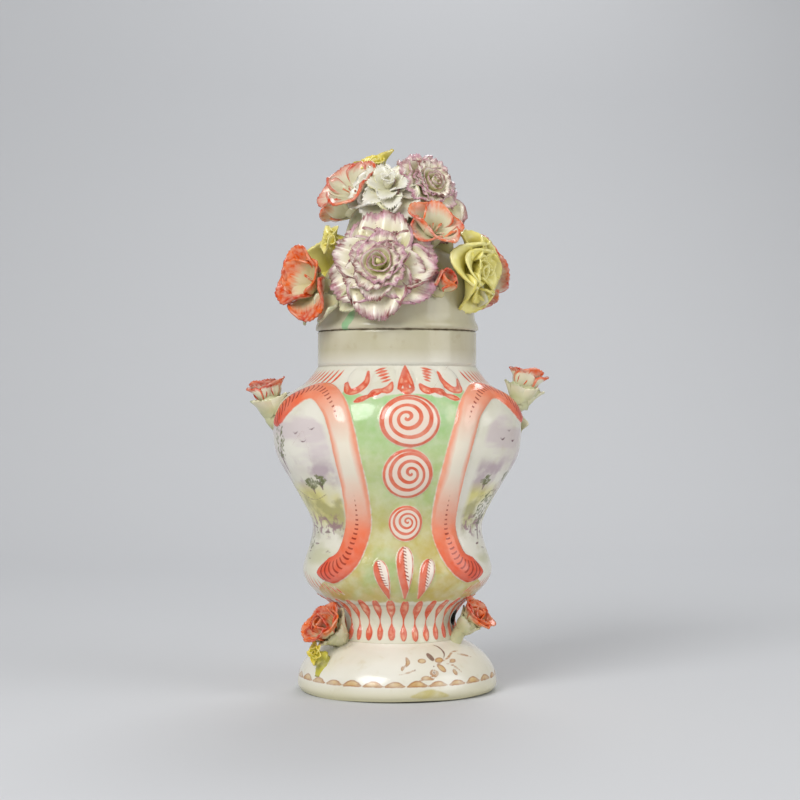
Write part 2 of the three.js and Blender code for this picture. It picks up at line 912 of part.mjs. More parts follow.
// Puts each flower on its seat: the head stands off from the seat, the stalk joins the two,
// and what was seated before it is cut away with a gap.
function seatFlowers(list, carrier, group) {
  const taken = [];
  for (const flower of list) {
    const { seat, outward } = flower.seat;
    const facing = directionAt(...flower.facing);
    const holder = new THREE.Object3D();
    holder.position.copy(seat).addScaledVector(outward, flower.standOff);
    holder.quaternion.setFromUnitVectors(new THREE.Vector3(0, 0, 1), facing);
    holder.rotateZ(radians(flower.spin ?? 0));
    holder.updateMatrix();
    const home = holder.matrix;
    const away = home.clone().invert();
    const root = seat.clone().addScaledVector(outward, -rootDepth).applyMatrix4(away);
    const { outer, heart, crown } = flower.kind(flower.size);
    const head = wasm.Manifold.union(outer);
    const whole = head.add(stalkBetween(new THREE.Vector3(0, 0, crown), root));
    const cutters = [carrier, ...taken].map((cutter) => cutter.transform(away.elements));
    const clear = (solid) => cutters.reduce((rest, cutter) => rest.subtract(cutter), solid);
    const parts = [];
    if (flower.kind === calyxFlower) {
      const frills = wasm.Manifold.union(heart).subtract(calyxCone(flower.size, lutingGap));
      parts.push([`${flower.name}_calyx`, clear(whole), leafGlazed]);
      parts.push([`${flower.name}_head`, clear(frills), flower.material]);
      taken.push(hullWithGap(frills).transform(home.elements));
    } else if (heart) {
      const inner = wasm.Manifold.union(heart).intersect(heartBowl(flower.size, 0));
      const rest = whole.subtract(heartBowl(flower.size, lutingGap));
      parts.push([`${flower.name}_petals`, clear(rest), flower.material]);
      parts.push([`${flower.name}_heart`, clear(inner), flower.material]);
    } else {
      parts.push([flower.name, clear(whole), flower.material]);
    }
    for (const [name, solid, material] of parts) {
      const mesh = meshOf(name, largest(solid), material);
      mesh.position.copy(holder.position);
      mesh.quaternion.copy(holder.quaternion);
      group.add(mesh);
    }
    taken.push(hullWithGap(head).transform(home.elements));
  }
}

const onDome = (azimuth, latitude) => {
  const rise = radians(latitude);
  const seat = outwardAt(azimuth).multiplyScalar(collarRadius * Math.cos(rise));
  seat.setZ(collarTop + domeHeight * Math.sin(rise));
  return { seat, outward: directionAt(azimuth, latitude) };
};
const onMound = (azimuth, latitude) => ({
  seat: moundPoint(azimuth, latitude),
  outward: directionAt(azimuth, latitude),
});
const onBody = (azimuth, level) => ({
  seat: wallPoint(azimuth, level),
  outward: wallNormal(azimuth, level),
});
const onFoot = (azimuth, share) => {
  const curve = new THREE.SplineCurve(
    footOutline(0).map(([radius, height]) => new THREE.Vector2(radius, height)),
  );
  const point = curve.getPoint(share);
  const seat = outwardAt(azimuth).multiplyScalar(point.x).setZ(point.y);
  return { seat, outward: directionAt(azimuth, 50) };
};
const flower = (name, kind, size, material, seat, standOff, facing, spin = 0) => ({
  name,
  kind,
  size,
  material,
  seat,
  standOff,
  facing,
  spin,
});

const coverFlowers = [
  flower("front_carnation", carnation, frontCarnationSize, purpleEdged,
    onDome(-17, 23), middleStand, [-14, 20]),
  flower("yellow_rose", rose, roseSize, yellowGlazed,
    onDome(57, 25), nearStand, [54, -4]),
  flower("left_anemone", anemone, sideAnemoneSize, redEdged,
    onDome(-73, 13), middleStand, [-52, 10], 20),
  flower("white_carnation", smallCarnation, whiteCarnationSize, whiteGlazed,
    onMound(-16, 48), middleStand, [-14, 40]),
  flower("top_carnation", carnation, topCarnationSize, purpleEdged,
    onMound(40, 52), raisedStand, [34, 24]),
  flower("upper_left_anemone", anemone, upperAnemoneSize, redEdged,
    onMound(-70, 46), lowStand, [-44, 44]),
  flower("right_anemone", anemone, rightAnemoneSize, redEdged,
    onDome(24, 46), topStand, [22, 40]),
  flower("top_narcissus", narcissus, topNarcissusSize, yellowGlazed,
    onMound(-100, 74), topStand, [-60, 68]),
  flower("small_yellow_flower", narcissus, smallNarcissusSize, yellowGlazed,
    onDome(-80, 47), tallStand, [-66, 20]),
  flower("red_bud", bud, budSize, redEdged,
    onDome(23, 9), lowStand, [24, 24]),
  flower("back_carnation", carnation, backCarnationSize, purpleEdged,
    onDome(170, 22), lowStand, [170, 12]),
  flower("back_yellow_rose", rose, roseSize, yellowGlazed,
    onDome(-128, 20), lowStand, [-130, 8]),
  flower("back_anemone", anemone, sideAnemoneSize, redEdged,
    onDome(112, 20), raisedStand, [112, 14]),
  flower("back_white_carnation", smallCarnation, backWhiteCarnationSize, whiteGlazed,
    onMound(164, 34), middleStand, [164, 34]),
  flower("upper_back_anemone", anemone, upperAnemoneSize, redEdged,
    onMound(-136, 34), middleStand, [-136, 34]),
  flower("back_narcissus", narcissus, backNarcissusSize, yellowGlazed,
    onMound(118, 30), lowStand, [120, 30]),
  flower("front_bract", leaf, bractSize, leafGlazed,
    onDome(-32, 3), nearStand, [-32, -10], 180),
  flower("left_leaf", leaf, leafSize, leafGlazed,
    onDome(-50, 2), nearStand, [-50, 10], 180),
  flower("right_leaf", leaf, leafSize, leafGlazed,
    onDome(66, -2), nearStand, [66, 0], 180),
  flower("far_right_leaf", leaf, leafSize, leafGlazed,
    onDome(86, 8), nearStand, [86, 10], 160),
  flower("back_right_leaf", leaf, leafSize, leafGlazed,
    onDome(144, 5), nearStand, [144, 10], 190),
  flower("back_left_leaf", leaf, leafSize, leafGlazed,
    onDome(-156, 5), nearStand, [-156, 10], 170),
  flower("far_left_leaf", leaf, leafSize, leafGlazed,
    onDome(-100, 6), nearStand, [-100, 10], 180),
];

const vaseFlowers = [
  flower("left_shoulder", calyxFlower, shoulderFlowerSize, redEdged,
    onBody(-90, 0.84), shoulderStand, [-90, 76]),
  flower("right_shoulder", calyxFlower, shoulderFlowerSize, redEdged,
    onBody(90, 0.86), rightShoulderStand, [90, 74]),
  flower("left_foot", calyxFlower, leftFootFlowerSize, redEdged,
    onFoot(-62, 0.82), leftFootStand, [-56, 34]),
  flower("right_foot", calyxFlower, rightFootFlowerSize, redEdged,
    onFoot(60, 0.92), rightFootStand, [58, 44]),
  flower("foot_yellow_flower", narcissus, footNarcissusSize, yellowGlazed,
    onFoot(-60, 0.5), middleStand, [-56, 20]),
  flower("right_shoulder_leaf", leaf, shoulderLeafSize, leafGlazed,
    onBody(90, 0.72), lutingGap * 3, [90, 10], 180),
];

const cover = new THREE.Group();
const mound = moundRaw(0).subtract(domeFilled(lutingGap));
cover.add(meshOf("cover_dome", coverSolid(), porcelain));
cover.add(meshOf("locating_flange", flangeSolid(), porcelain));
cover.add(meshOf("flower_mound", largest(mound), porcelain));
const coverCarrier = domeFilled(lutingGap).add(moundRaw(lutingGap));
seatFlowers(coverFlowers, coverCarrier, cover);

const vase = new THREE.Group();
vase.add(meshOf("foot", footSolid(), porcelain));
vase.add(meshOf("stem", stemSolid(), porcelain));
vase.add(meshOf("body", bodySolid(), greenGround));
vase.add(meshOf("neck", neckSolid(), porcelain));
seatFlowers(vaseFlowers, carrierOfVase(), vase);
vase.add(cover);

export default vase;
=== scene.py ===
import math

import bpy
import numpy as np
from mathutils import Matrix, Vector


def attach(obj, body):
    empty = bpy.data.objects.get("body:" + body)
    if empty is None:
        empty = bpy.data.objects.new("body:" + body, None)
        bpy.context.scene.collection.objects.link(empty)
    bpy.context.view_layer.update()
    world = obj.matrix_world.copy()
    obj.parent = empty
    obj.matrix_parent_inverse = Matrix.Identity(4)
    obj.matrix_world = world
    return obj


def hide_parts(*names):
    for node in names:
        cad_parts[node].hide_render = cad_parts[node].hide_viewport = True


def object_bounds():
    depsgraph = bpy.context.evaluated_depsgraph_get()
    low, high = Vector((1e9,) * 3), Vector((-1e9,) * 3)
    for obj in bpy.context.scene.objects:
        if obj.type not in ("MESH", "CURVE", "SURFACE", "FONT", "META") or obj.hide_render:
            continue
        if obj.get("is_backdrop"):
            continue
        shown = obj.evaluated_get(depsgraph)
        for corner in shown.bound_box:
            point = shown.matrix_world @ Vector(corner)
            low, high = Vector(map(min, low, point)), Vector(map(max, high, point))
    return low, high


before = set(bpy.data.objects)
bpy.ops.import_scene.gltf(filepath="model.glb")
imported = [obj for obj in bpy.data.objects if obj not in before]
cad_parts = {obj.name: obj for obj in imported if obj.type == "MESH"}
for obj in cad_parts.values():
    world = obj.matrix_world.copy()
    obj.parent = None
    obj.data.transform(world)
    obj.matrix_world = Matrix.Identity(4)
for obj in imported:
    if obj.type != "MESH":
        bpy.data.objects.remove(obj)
cad_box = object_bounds()

# Foot: a hollow dome thrown on a flat ring, a little out of true. It is glazed in a warm white
# and painted with a worn brown scallop border and a sprig, and it carries the stem.

foot_radius = 50.0
foot_height = 26.0
foot_ring = 5.0
foot_bevel = 1.5
stem_root_radius = 30.5
stem_bore = 24.5
wall = 4.5
metre = 0.001
far_away = 9.0


def linear(hex_text):
    """An sRGB hex colour as the linear colour that a shader takes."""
    parts = [int(hex_text[i : i + 2], 16) / 255 for i in (1, 3, 5)]
    return [p / 12.92 if p <= 0.04045 else ((p + 0.055) / 1.055) ** 2.4 for p in parts] + [1.0]


def add_node(tree, kind, values=(), **settings):
    """Adds a node with its settings. The values go to its inputs, in order or by their names:
    each is a plain value, a hex colour, a socket, or a node whose first output is meant."""
    made = tree.nodes.new(kind)
    for name, value in settings.items():
        setattr(made, name, value)
    named = isinstance(values, dict)
    slots = made.inputs if named else [socket for socket in made.inputs if socket.enabled]
    for key, value in values.items() if named else enumerate(values):
        if isinstance(value, str) and value.startswith("#"):
            value = linear(value)
        if isinstance(value, bpy.types.Node):
            value = next(socket for socket in value.outputs if socket.enabled)
        if isinstance(value, bpy.types.NodeSocket):
            tree.links.new(value, slots[key])
        elif value is not None:
            slots[key].default_value = value
    return made


def outward_at(azimuth):
    """The level direction out from the axis at an azimuth, for one or many azimuths."""
    angle = np.radians(np.asarray(azimuth, float))
    return np.stack([np.sin(angle), -np.cos(angle), np.zeros_like(angle)], axis=-1)


def smooth_line(points, steps):
    """An even number of points along a smooth curve through the given ones."""
    points = np.asarray(points, float)
    padded = np.vstack([2 * points[0] - points[1], points, 2 * points[-1] - points[-2]])
    share = np.linspace(0, len(points) - 1, steps)
    i = np.minimum(share.astype(int), len(points) - 2)
    t = (share - i)[:, None]
    a, b, c, d = (padded[i + k] for k in range(4))
    curve = 2 * b + (c - a) * t + (2 * a - 5 * b + 4 * c - d) * t**2
    return (curve + (3 * b - a - 3 * c + d) * t**3) / 2


def rings_mesh(rings, loop=False, closed=True):
    """Points and faces of rings joined to a skin. A loop's last ring meets the first again,
    and an open stack gets a fan over each end unless it is left open."""
    rings = np.asarray(rings, float)
    rows, count = rings.shape[:2]
    points = rings.reshape(-1, 3)
    i, j = np.meshgrid(np.arange(rows if loop else rows - 1), np.arange(count), indexing="ij")
    here, there, after = i * count, (i + 1) % rows * count, (j + 1) % count
    faces = np.stack([here + j, here + after, there + after, there + j], -1).reshape(-1, 4)
    faces = faces.tolist()
    if closed and not loop:
        points = np.vstack([points, rings[0].mean(0), rings[-1].mean(0)])
        last = (rows - 1) * count
        for k in range(count):
            faces.append([rows * count, (k + 1) % count, k])
            faces.append([rows * count + 1, last + k, last + (k + 1) % count])
    return points, faces


def turned_rings(outline, azimuths):
    """Rings of an outline of [radius, height] pairs turned about the vase's axis."""
    out = outward_at(azimuths)
    return np.array([out * radius + [0, 0, height] for radius, height in outline])


def make_piece(name, points, faces, material, fields=None):
    """A smooth-shaded mesh object from points in millimetres. A field is a value or a triple
    for each point, which the material reads by its name."""
    mesh = bpy.data.meshes.new(name)
    mesh.from_pydata((np.asarray(points) * metre).tolist(), [], faces)
    mesh.polygons.foreach_set("use_smooth", [True] * len(mesh.polygons))
    for field, values in (fields or {}).items():
        values = np.asarray(values, float)
        plain = values.ndim == 1
        stored = mesh.attributes.new(field, "FLOAT" if plain else "FLOAT_VECTOR", "POINT")
        stored.data.foreach_set("value" if plain else "vector", values.ravel())
    if material:
        mesh.materials.append(material)
    mesh.validate()
    piece = bpy.data.objects.new(name, mesh)
    bpy.context.scene.collection.objects.link(piece)
    return piece


def fix_piece(piece, body, slot, *nodes):
    """Says which body a piece moves with and the solids that it stands for. Its finish is not used.
    """
    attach(piece, body)
    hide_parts(*nodes)


def stroke(on_surface, spots, half, start=0.2, end=0.2, peak=0.5):
    """A brush stroke through [azimuth, height] spots of a surface, as a line of points with a
    half width at each: it swells from its start to its peak and thins out to its end."""
    steps = 6 * len(spots)
    line = smooth_line(spots, steps)
    share = np.linspace(0, 1, steps)
    rise = np.minimum(share / peak, (1 - share) / (1 - peak))
    low = np.where(share < peak, start, end)
    halves = half * (low + (1 - low) * np.sin(np.clip(rise, 0, 1) * math.pi / 2))
    return on_surface(line[:, 0], line[:, 1]), halves


def stroke_reach(points, strokes):
    """The distance in millimetres from each point to the edge of the nearest brush stroke,
    negative inside."""
    reach = np.full(len(points), far_away)
    for line, halves in strokes:
        margin = halves.max() + 3
        near = ((points > line.min(0) - margin) & (points < line.max(0) + margin)).all(1)
        near = np.flatnonzero(near)
        spot = points[near]
        for a, b, first, last in zip(line[:-1], line[1:], halves[:-1], halves[1:]):
            along = b - a
            share = np.clip((spot - a) @ along / max(along @ along, 1e-9), 0, 1)
            gap = np.linalg.norm(spot - a - share[:, None] * along, axis=1)
            reach[near] = np.minimum(reach[near], gap - first - (last - first) * share)
    return reach


def tinted(tree, colour, layers):
    """The colour with tones laid over it in turn. Where a layer's grain goes from low to high,
    its tone goes from its first to its last density."""
    for grain, low, high, first, last, tone in layers:
        amount = add_node(tree, "ShaderNodeMapRange", [grain, low, high, first, last])
        colour = add_node(tree, "ShaderNodeMix", [amount, colour, tone], data_type="RGBA")
    return colour


def glaze_colour(tree, tone, pool, stain):
    """Porcelain under a clear glaze: a warm white that turns greenish where the glaze lies
    thick, with faint stains and a few black iron specks."""
    where = add_node(tree, "ShaderNodeTexCoord").outputs["Object"]
    cloud = add_node(tree, "ShaderNodeTexNoise", [where, 38.0, 3.0])
    spots = add_node(tree, "ShaderNodeTexNoise", [where, 150.0, 5.0])
    layers = [(cloud, 0.42, 0.75, 0.0, 0.6, pool), (spots, 0.6, 0.78, 0.0, 0.45, stain)]
    colour = tinted(tree, tone, layers)
    speck = add_node(tree, "ShaderNodeTexVoronoi", [where, 210.0])
    rare = add_node(tree, "ShaderNodeMath", [speck.outputs["Color"], 40.0], operation="POWER")
    size = add_node(tree, "ShaderNodeMath", [rare, 0.12], operation="MULTIPLY")
    black = add_node(
        tree, "ShaderNodeMath", [size, speck.outputs["Distance"]], operation="GREATER_THAN"
    )
    return add_node(tree, "ShaderNodeMix", [black, colour, "#4d4136"], data_type="RGBA")


def brushed(tree, below, reach, paint, film, soft=0.25, waver=0.3):
    """Enamel brushed over what is below, where reach in millimetres is under 0. Its edge
    wavers with the brush, and its film is uneven, so that some of the ground shows."""
    where = add_node(tree, "ShaderNodeTexCoord").outputs["Object"]
    hand = add_node(tree, "ShaderNodeTexNoise", [where, 420.0, 2.0])
    drift = add_node(tree, "ShaderNodeMath", [hand, 2 * waver, reach], operation="MULTIPLY_ADD")
    inside = add_node(
        tree,
        "ShaderNodeMapRange",
        [drift, waver + soft, waver - soft],
        interpolation_type="SMOOTHSTEP",
    )
    cover = add_node(tree, "ShaderNodeTexNoise", [where, 190.0, 4.0])
    dense = add_node(tree, "ShaderNodeMapRange", [cover, 0.35, 0.65, 1 - film, 1.0])
    amount = add_node(tree, "ShaderNodeMath", [inside, dense], operation="MULTIPLY")
    return add_node(tree, "ShaderNodeMix", [amount, below, paint], data_type="RGBA")


def glazed_material(name, colour_of, roughness=0.16, pits=0.5):
    """A fired material under a clear gloss glaze. The glaze sinks into pits and lies in soft
    ripples, so highlights break up at their edges."""
    material = bpy.data.materials.new(name)
    material.use_nodes = True
    tree = material.node_tree
    tree.nodes.clear()
    where = add_node(tree, "ShaderNodeTexCoord").outputs["Object"]
    ripple = add_node(tree, "ShaderNodeTexNoise", [where, 130.0, 2.0])
    pit = add_node(tree, "ShaderNodeTexVoronoi", [where, 480.0])
    hole = add_node(tree, "ShaderNodeMapRange", [pit.outputs["Distance"], 0.0, 0.22])
    normal = add_node(
        tree, "ShaderNodeBump", {"Height": ripple, "Strength": 0.16, "Distance": 0.001}
    )
    pitted = {"Height": hole, "Strength": 0.12 * pits, "Distance": 0.0006, "Normal": normal}
    finish = {
        "Base Color": colour_of(tree),
        "Roughness": roughness,
        "IOR": 1.5,
        "Normal": add_node(tree, "ShaderNodeBump", pitted),
    }
    shader = add_node(tree, "ShaderNodeBsdfPrincipled", finish)
    add_node(tree, "ShaderNodeOutputMaterial", [shader])
    return material


shoulder_of_foot = [[0.91, 0.42], [0.7, 0.65], [0.38, 0.84], [0.1, 0.95], [0.0, 1.0]]
spread_of_foot = foot_radius - stem_root_radius
foot_outline = smooth_line(
    [[foot_radius - foot_bevel, 0.0], [foot_radius, foot_height * 0.14]]
    + [[stem_root_radius + spread_of_foot * out, foot_height * up] for out, up in shoulder_of_foot],
    46,
)
foot_inside = smooth_line(
    [
        [stem_bore, foot_height],
        [stem_bore, foot_height - wall],
        [(stem_bore + foot_radius) / 2, foot_height * 0.58],
        [foot_radius - foot_bevel - foot_ring, 0.0],
    ],
    12,
)


def on_foot(azimuth, height):
    """A point on the foot's outside at a height above the ground."""
    radius = np.interp(height, foot_outline[:, 1], foot_outline[:, 0])
    point = outward_at(azimuth) * np.asarray(radius)[..., None]
    point[..., 2] = height
    return point


scallops = 29
scallop_pitch = 360 / scallops
scallop_start = -7.3
scallop_half = 6.0
scallop_foot = 7.2
scallop_top = 8.5
border_foot = 7.3
border = []
for i in range(scallops):
    middle = i * scallop_pitch + scallop_start
    top = [middle, scallop_top + 0.3 * math.sin(i * 1.9)]
    dome = [[middle - scallop_half, scallop_foot], top, [middle + scallop_half, scallop_foot]]
    border.append(stroke(on_foot, dome, 1.8, 0.3, 0.3))

# The sprig's brush strokes: the spots that each runs through, and its half width.
sprig_spots = [
    ([[8.4, 18.9], [12.6, 19.3]], 1.2),
    ([[20.2, 18.7], [25.4, 19.4]], 1.25),
    ([[20.4, 17.0], [23.8, 14.2]], 1.25),
    ([[16.1, 15.4], [18.3, 13.9], [16.1, 12.4], [13.9, 13.9], [16.1, 15.4]], 0.55),
    ([[25.6, 18.6], [31.0, 19.8], [38.0, 21.6], [45.5, 21.9]], 0.4),
    ([[30.4, 18.0], [35.2, 18.6]], 0.9),
    ([[41.7, 20.6], [47.0, 19.9], [53.0, 18.6]], 0.6),
    ([[26.0, 17.6], [32.0, 16.0], [36.0, 12.2]], 0.35),
    ([[29.8, 14.6], [30.8, 12.2]], 0.9),
    ([[0.3, 20.6], [1.0, 18.6], [-0.8, 16.8]], 0.8),
    ([[-2.4, 17.0], [-3.4, 15.2]], 0.6),
    ([[-5.0, 13.4], [1.0, 14.4], [5.4, 15.6]], 0.35),
    ([[7.5, 11.2], [11.0, 11.6], [15.0, 10.8]], 0.9),
]
sprig_weight = 1.35
dark_spots = [
    ([[16.6, 21.9], [18.2, 19.3]], 1.5),
    ([[26.5, 19.5], [30.2, 21.6], [30.4, 24.0], [27.4, 25.0]], 0.5),
    ([[16.0, 13.8], [16.3, 14.0]], 0.6),
    ([[17.1, 16.5], [17.4, 16.8]], 0.5),
    ([[4.2, 15.1], [4.9, 15.4]], 0.5),
]
sprig = [stroke(on_foot, spots, half * sprig_weight, 0.4, 0.3) for spots, half in sprig_spots]
dark_sprig = [stroke(on_foot, spots, half, 0.4, 0.6) for spots, half in dark_spots]
run_of_glaze = [stroke(on_foot, [[1.5, 2.6], [12.4, 3.6], [23.4, 2.4]], 2.4, 0.2, 0.2)]


def foot_colour(tree):
    """White glaze with brown enamel, worn thin and darker where the brush stopped, and
    yellowish glaze that ran down to the rim."""
    colour = glaze_colour(tree, "#ebe8dc", "#d9d4bc", "#d2c5a2")
    where = add_node(tree, "ShaderNodeTexCoord").outputs["Object"]
    rise = add_node(tree, "ShaderNodeSeparateXYZ", [where]).outputs["Z"]
    colour = tinted(tree, colour, [(rise, 0.001, 0.008, 0.7, 0.0, "#c9c28f")])
    brown = add_node(tree, "ShaderNodeAttribute", attribute_name="brown")
    parts = add_node(tree, "ShaderNodeSeparateXYZ", [brown.outputs["Vector"]])
    colour = brushed(tree, colour, parts.outputs["Z"], "#c9bd7c", soft=0.6, film=0.5)
    worn = add_node(tree, "ShaderNodeTexNoise", [where, 160.0, 4.0])
    inner = add_node(tree, "ShaderNodeMapRange", [parts.outputs["X"], -0.3, -0.9, 0.0, 1.5])
    fade = add_node(tree, "ShaderNodeMath", [inner, worn], operation="MULTIPLY")
    paint = add_node(tree, "ShaderNodeMix", [fade, "#ad7a4e", "#dcbd84"], data_type="RGBA")
    colour = brushed(tree, colour, parts.outputs["X"], paint, film=0.4)
    return brushed(tree, colour, parts.outputs["Y"], "#6f4230", film=0.35)


foot_azimuths = np.arange(0, 360, 1.0)
rings = turned_rings(np.vstack([foot_outline, foot_inside]), foot_azimuths)
turns = np.radians(foot_azimuths)
sway = 0.7 * np.sin(2 * turns + 0.6) + 0.35 * np.sin(5 * turns + 2) + 0.2 * np.sin(9 * turns)
warped_height = 14
low = np.clip(1 - rings[..., 2] / warped_height, 0, 1)
points, faces = rings_mesh(rings, loop=True)
scalloped = np.maximum(stroke_reach(points, border), border_foot - points[:, 2])
foot_fields = [
    np.minimum(scalloped, stroke_reach(points, sprig)),
    stroke_reach(points, dark_sprig),
    stroke_reach(points, run_of_glaze),
]
rings[..., 2] += low * (0.5 + 0.45 * sway)
rim_share = np.clip((np.hypot(rings[..., 0], rings[..., 1]) - 40) / 10, 0, 1)
rings[..., :2] *= (1 + 0.008 * (sway - 1) * rim_share * low)[..., None]
foot = make_piece(
    "glazed_foot",
    rings.reshape(-1, 3),
    faces,
    glazed_material("glazed_porcelain_foot", foot_colour),
    {"brown": np.stack(foot_fields, 1)},
)
fix_piece(foot, "vase", "glazed_porcelain", "foot")

# Stem: a waisted tube pressed in a mould, with flutes that swell to a drop at both ends. The
# drops are painted red. A round vent at the side let the steam out in the kiln. Its cut wall of
# raw clay is painted near black as painted shade, for the dark hollow of the stem behind it.

stem_height = 19.0
stem_waist_radius = 29.0
stem_top_radius = 35.4
stem_top = foot_height + stem_height
flute_count = 32
flute_depth = 0.9
flute_waist = 36.4
flute_ends = (26.9, 48.2)
flute_line_half = 0.32
flute_drop_halves = (1.75, 1.35)
vent_azimuth = 70.0
vent_rise = 10.5
vent_radius = 4.5
vent_cut = (10.0, 60.0)


def stem_radius(share):
    """The stem's radius at a share of its height."""
    narrowing = (stem_waist_radius - stem_root_radius) * np.minimum(1, share / 0.4)
    flare = (stem_top_radius - stem_waist_radius) * np.clip((share - 0.4) / 0.6, 0, 1) ** 2.2
    return stem_root_radius + narrowing + flare


def flute_reach(azimuth, height):
    """The distance in millimetres from the edge of the nearest flute, negative inside. Each
    flute is a thin line at the waist and opens to a round-ended drop above and below."""
    pitch = azimuth * flute_count / 360 + 0.5
    number = np.floor(pitch) % flute_count
    swing = 0.35 * np.sin(number * 5.3)
    upper = (height - flute_waist - swing) / (flute_ends[1] - flute_waist)
    lower = (flute_waist + swing - height) / (flute_waist - flute_ends[0])
    lobe = np.maximum(upper, lower)
    open_part = np.clip((lobe - 0.05) / 0.5, 0, 1)
    widest = np.where(upper > lower, *flute_drop_halves) + 0.15 * np.sin(number * 3.1)
    half = flute_line_half + widest * open_part**2 * (3 - 2 * open_part)
    half = half * np.sqrt(np.clip(1 - (np.clip(lobe - 0.62, 0, 1) / 0.36) ** 2, 0, 1))
    share = np.clip((height - foot_height) / stem_height, 0, 1)
    across = np.abs(pitch % 1 - 0.5) * 2 * math.pi * stem_radius(share) / flute_count
    return np.where(lobe > 0.98, far_away, across - half)


def red_brush(tree, reach):
    """Iron-red enamel laid on in one stroke: deep at its edge and thin in the middle."""
    where = add_node(tree, "ShaderNodeTexCoord").outputs["Object"]
    streak = add_node(tree, "ShaderNodeTexNoise", [where, 300.0, 4.0])
    inner = add_node(tree, "ShaderNodeMapRange", [reach, -0.5, -1.4])
    thin = add_node(tree, "ShaderNodeMapRange", [streak, 0.42, 0.62])
    amount = add_node(tree, "ShaderNodeMath", [inner, thin], operation="MULTIPLY")
    deep = add_node(tree, "ShaderNodeMix", [streak, "#cd3c1e", "#ea6b45"], data_type="RGBA")
    return add_node(tree, "ShaderNodeMix", [amount, deep, "#f3ab8c"], data_type="RGBA")


def stem_colour(tree):
    """White glaze with each flute painted red, and painted shade, near black, in the vent."""
    colour = glaze_colour(tree, "#e3e0cd", "#c9c7a4", "#c9b892")
    red = add_node(tree, "ShaderNodeAttribute", attribute_name="red").outputs["Fac"]
    colour = brushed(tree, colour, red, red_brush(tree, red), soft=0.22, waver=0.2, film=0.2)
    # Painted shade: the vent's cut wall is laid near black, for the dark hollow behind it.
    vent_shade = add_node(tree, "ShaderNodeAttribute", attribute_name="vent_painted_shade").outputs["Fac"]
    return add_node(tree, "ShaderNodeMix", [vent_shade, colour, "#17110c"], data_type="RGBA")


stem_azimuths = np.arange(0, 360, 0.625)
azimuth_grid, share_grid = np.meshgrid(stem_azimuths, np.linspace(0, 1, 48))
reach = flute_reach(azimuth_grid, foot_height + share_grid * stem_height)
rib = flute_depth * np.sqrt(np.clip(-reach / 1.4, 0, 1))
rings = outward_at(azimuth_grid) * (stem_radius(share_grid) - 0.4 + rib)[..., None]
rings[..., 2] = foot_height + share_grid * stem_height
inside = turned_rings([[stem_bore, stem_top], [stem_bore, foot_height]], stem_azimuths)
points, faces = rings_mesh(np.concatenate([rings, inside]), loop=True)
stem_red = np.append(reach.ravel(), np.full(inside.shape[0] * inside.shape[1], far_away))
stem_glaze = glazed_material("glazed_porcelain_stem", stem_colour)
stem = make_piece("glazed_stem", points, faces, stem_glaze, {"red": stem_red})

vent_way = outward_at(vent_azimuth)
vent_side = np.cross([0, 0, 1], vent_way)
vent_ring = np.array(
    [
        vent_side * math.cos(angle) * vent_radius
        + [0, 0, foot_height + vent_rise + math.sin(angle) * vent_radius]
        for angle in np.radians(np.arange(0, 360, 15))
    ]
)
vent_rings = [vent_ring + vent_way * depth for depth in vent_cut]
cutter = make_piece("vent_cutter", *rings_mesh(vent_rings), None)
cut = stem.modifiers.new("vent", "BOOLEAN")
cut.object = cutter
cut.solver = "EXACT"
evaluated = stem.evaluated_get(bpy.context.evaluated_depsgraph_get())
vented = bpy.data.meshes.new_from_object(evaluated)
stem.modifiers.remove(cut)
stem.data = vented
bpy.data.objects.remove(cutter)

# The cut wall is what lies within the vent's width of its middle line. It is marked for painted
# shade, near black, for the dark hollow seen through the vent.
spots = np.array([vertex.co for vertex in vented.vertices]) / metre
spots[:, 2] -= foot_height + vent_rise
outwards = spots @ vent_way
off_axis = np.linalg.norm(spots - outwards[:, None] * vent_way, axis=1)
in_vent = (outwards > 0) & (off_axis < vent_radius * 1.02)
vent_shade = vented.attributes.new("vent_painted_shade", "FLOAT", "POINT")
vent_shade.data.foreach_set("value", in_vent.astype(np.float32))
fix_piece(stem, "vase", "glazed_porcelain", "stem")

# Body: an inverted pear pressed in a mould, with scroll bands, bosses, drops and leaves in low
# relief. Green ground, orange-red scrolls and loose landscapes are enamelled over the glaze.

neck_radius = 39.6
body_levels = [stem_top, 59.5, 79.0, 129.5, 160.5]
side_widths = [stem_top_radius, 47.0, 41.7, 61.6, neck_radius]
front_widths = [stem_top_radius, 43.0, 40.0, 54.0, neck_radius]
panel_squareness = 2.3
floor_thickness = 5.0
body_columns = 468
body_rows = 182

# Where the profile bends: the span between two levels, and the shares of its rise and width.
profile_bends = [
    (0, 0, 0), (0, 0.28, 0.48), (0, 0.62, 0.84),
    (1, 0, 0), (1, 0.25, 0.2), (1, 0.62, 0.68),
    (2, 0, 0), (2, 0.15, 0.07), (2, 0.45, 0.5), (2, 0.74, 0.9),
    (3, 0, 0), (3, 0.24, 0.03), (3, 0.5, 0.22), (3, 0.75, 0.72), (4, 0, 0),
]


def profile_controls(widths):
    """The [radius, height] points that the body's outline runs through."""
    knots = np.stack([widths, body_levels], 1)
    above = np.vstack([knots[1:], knots[-1:]])
    return np.array(
        [knots[k] + (above[k] - knots[k]) * [wide, rise] for k, rise, wide in profile_bends]
    )


def profile_at(controls, along):
    """Points of a profile at shares of its way, on the same curve as the solids have."""
    last = len(controls) - 1
    spot = np.clip(along, 0, 1) * last
    i = np.minimum(spot.astype(int), last)
    t = (spot - i)[..., None]
    a, b, c, d = (controls[np.clip(i + k, 0, last)] for k in (-1, 0, 1, 2))
    before, after = (c - a) / 2, (d - b) / 2
    cubic = (2 * b - 2 * c + before + after) * t**3
    return cubic + (3 * c - 3 * b - 2 * before - after) * t**2 + before * t + b


side_controls = profile_controls(side_widths)
front_controls = profile_controls(front_widths)


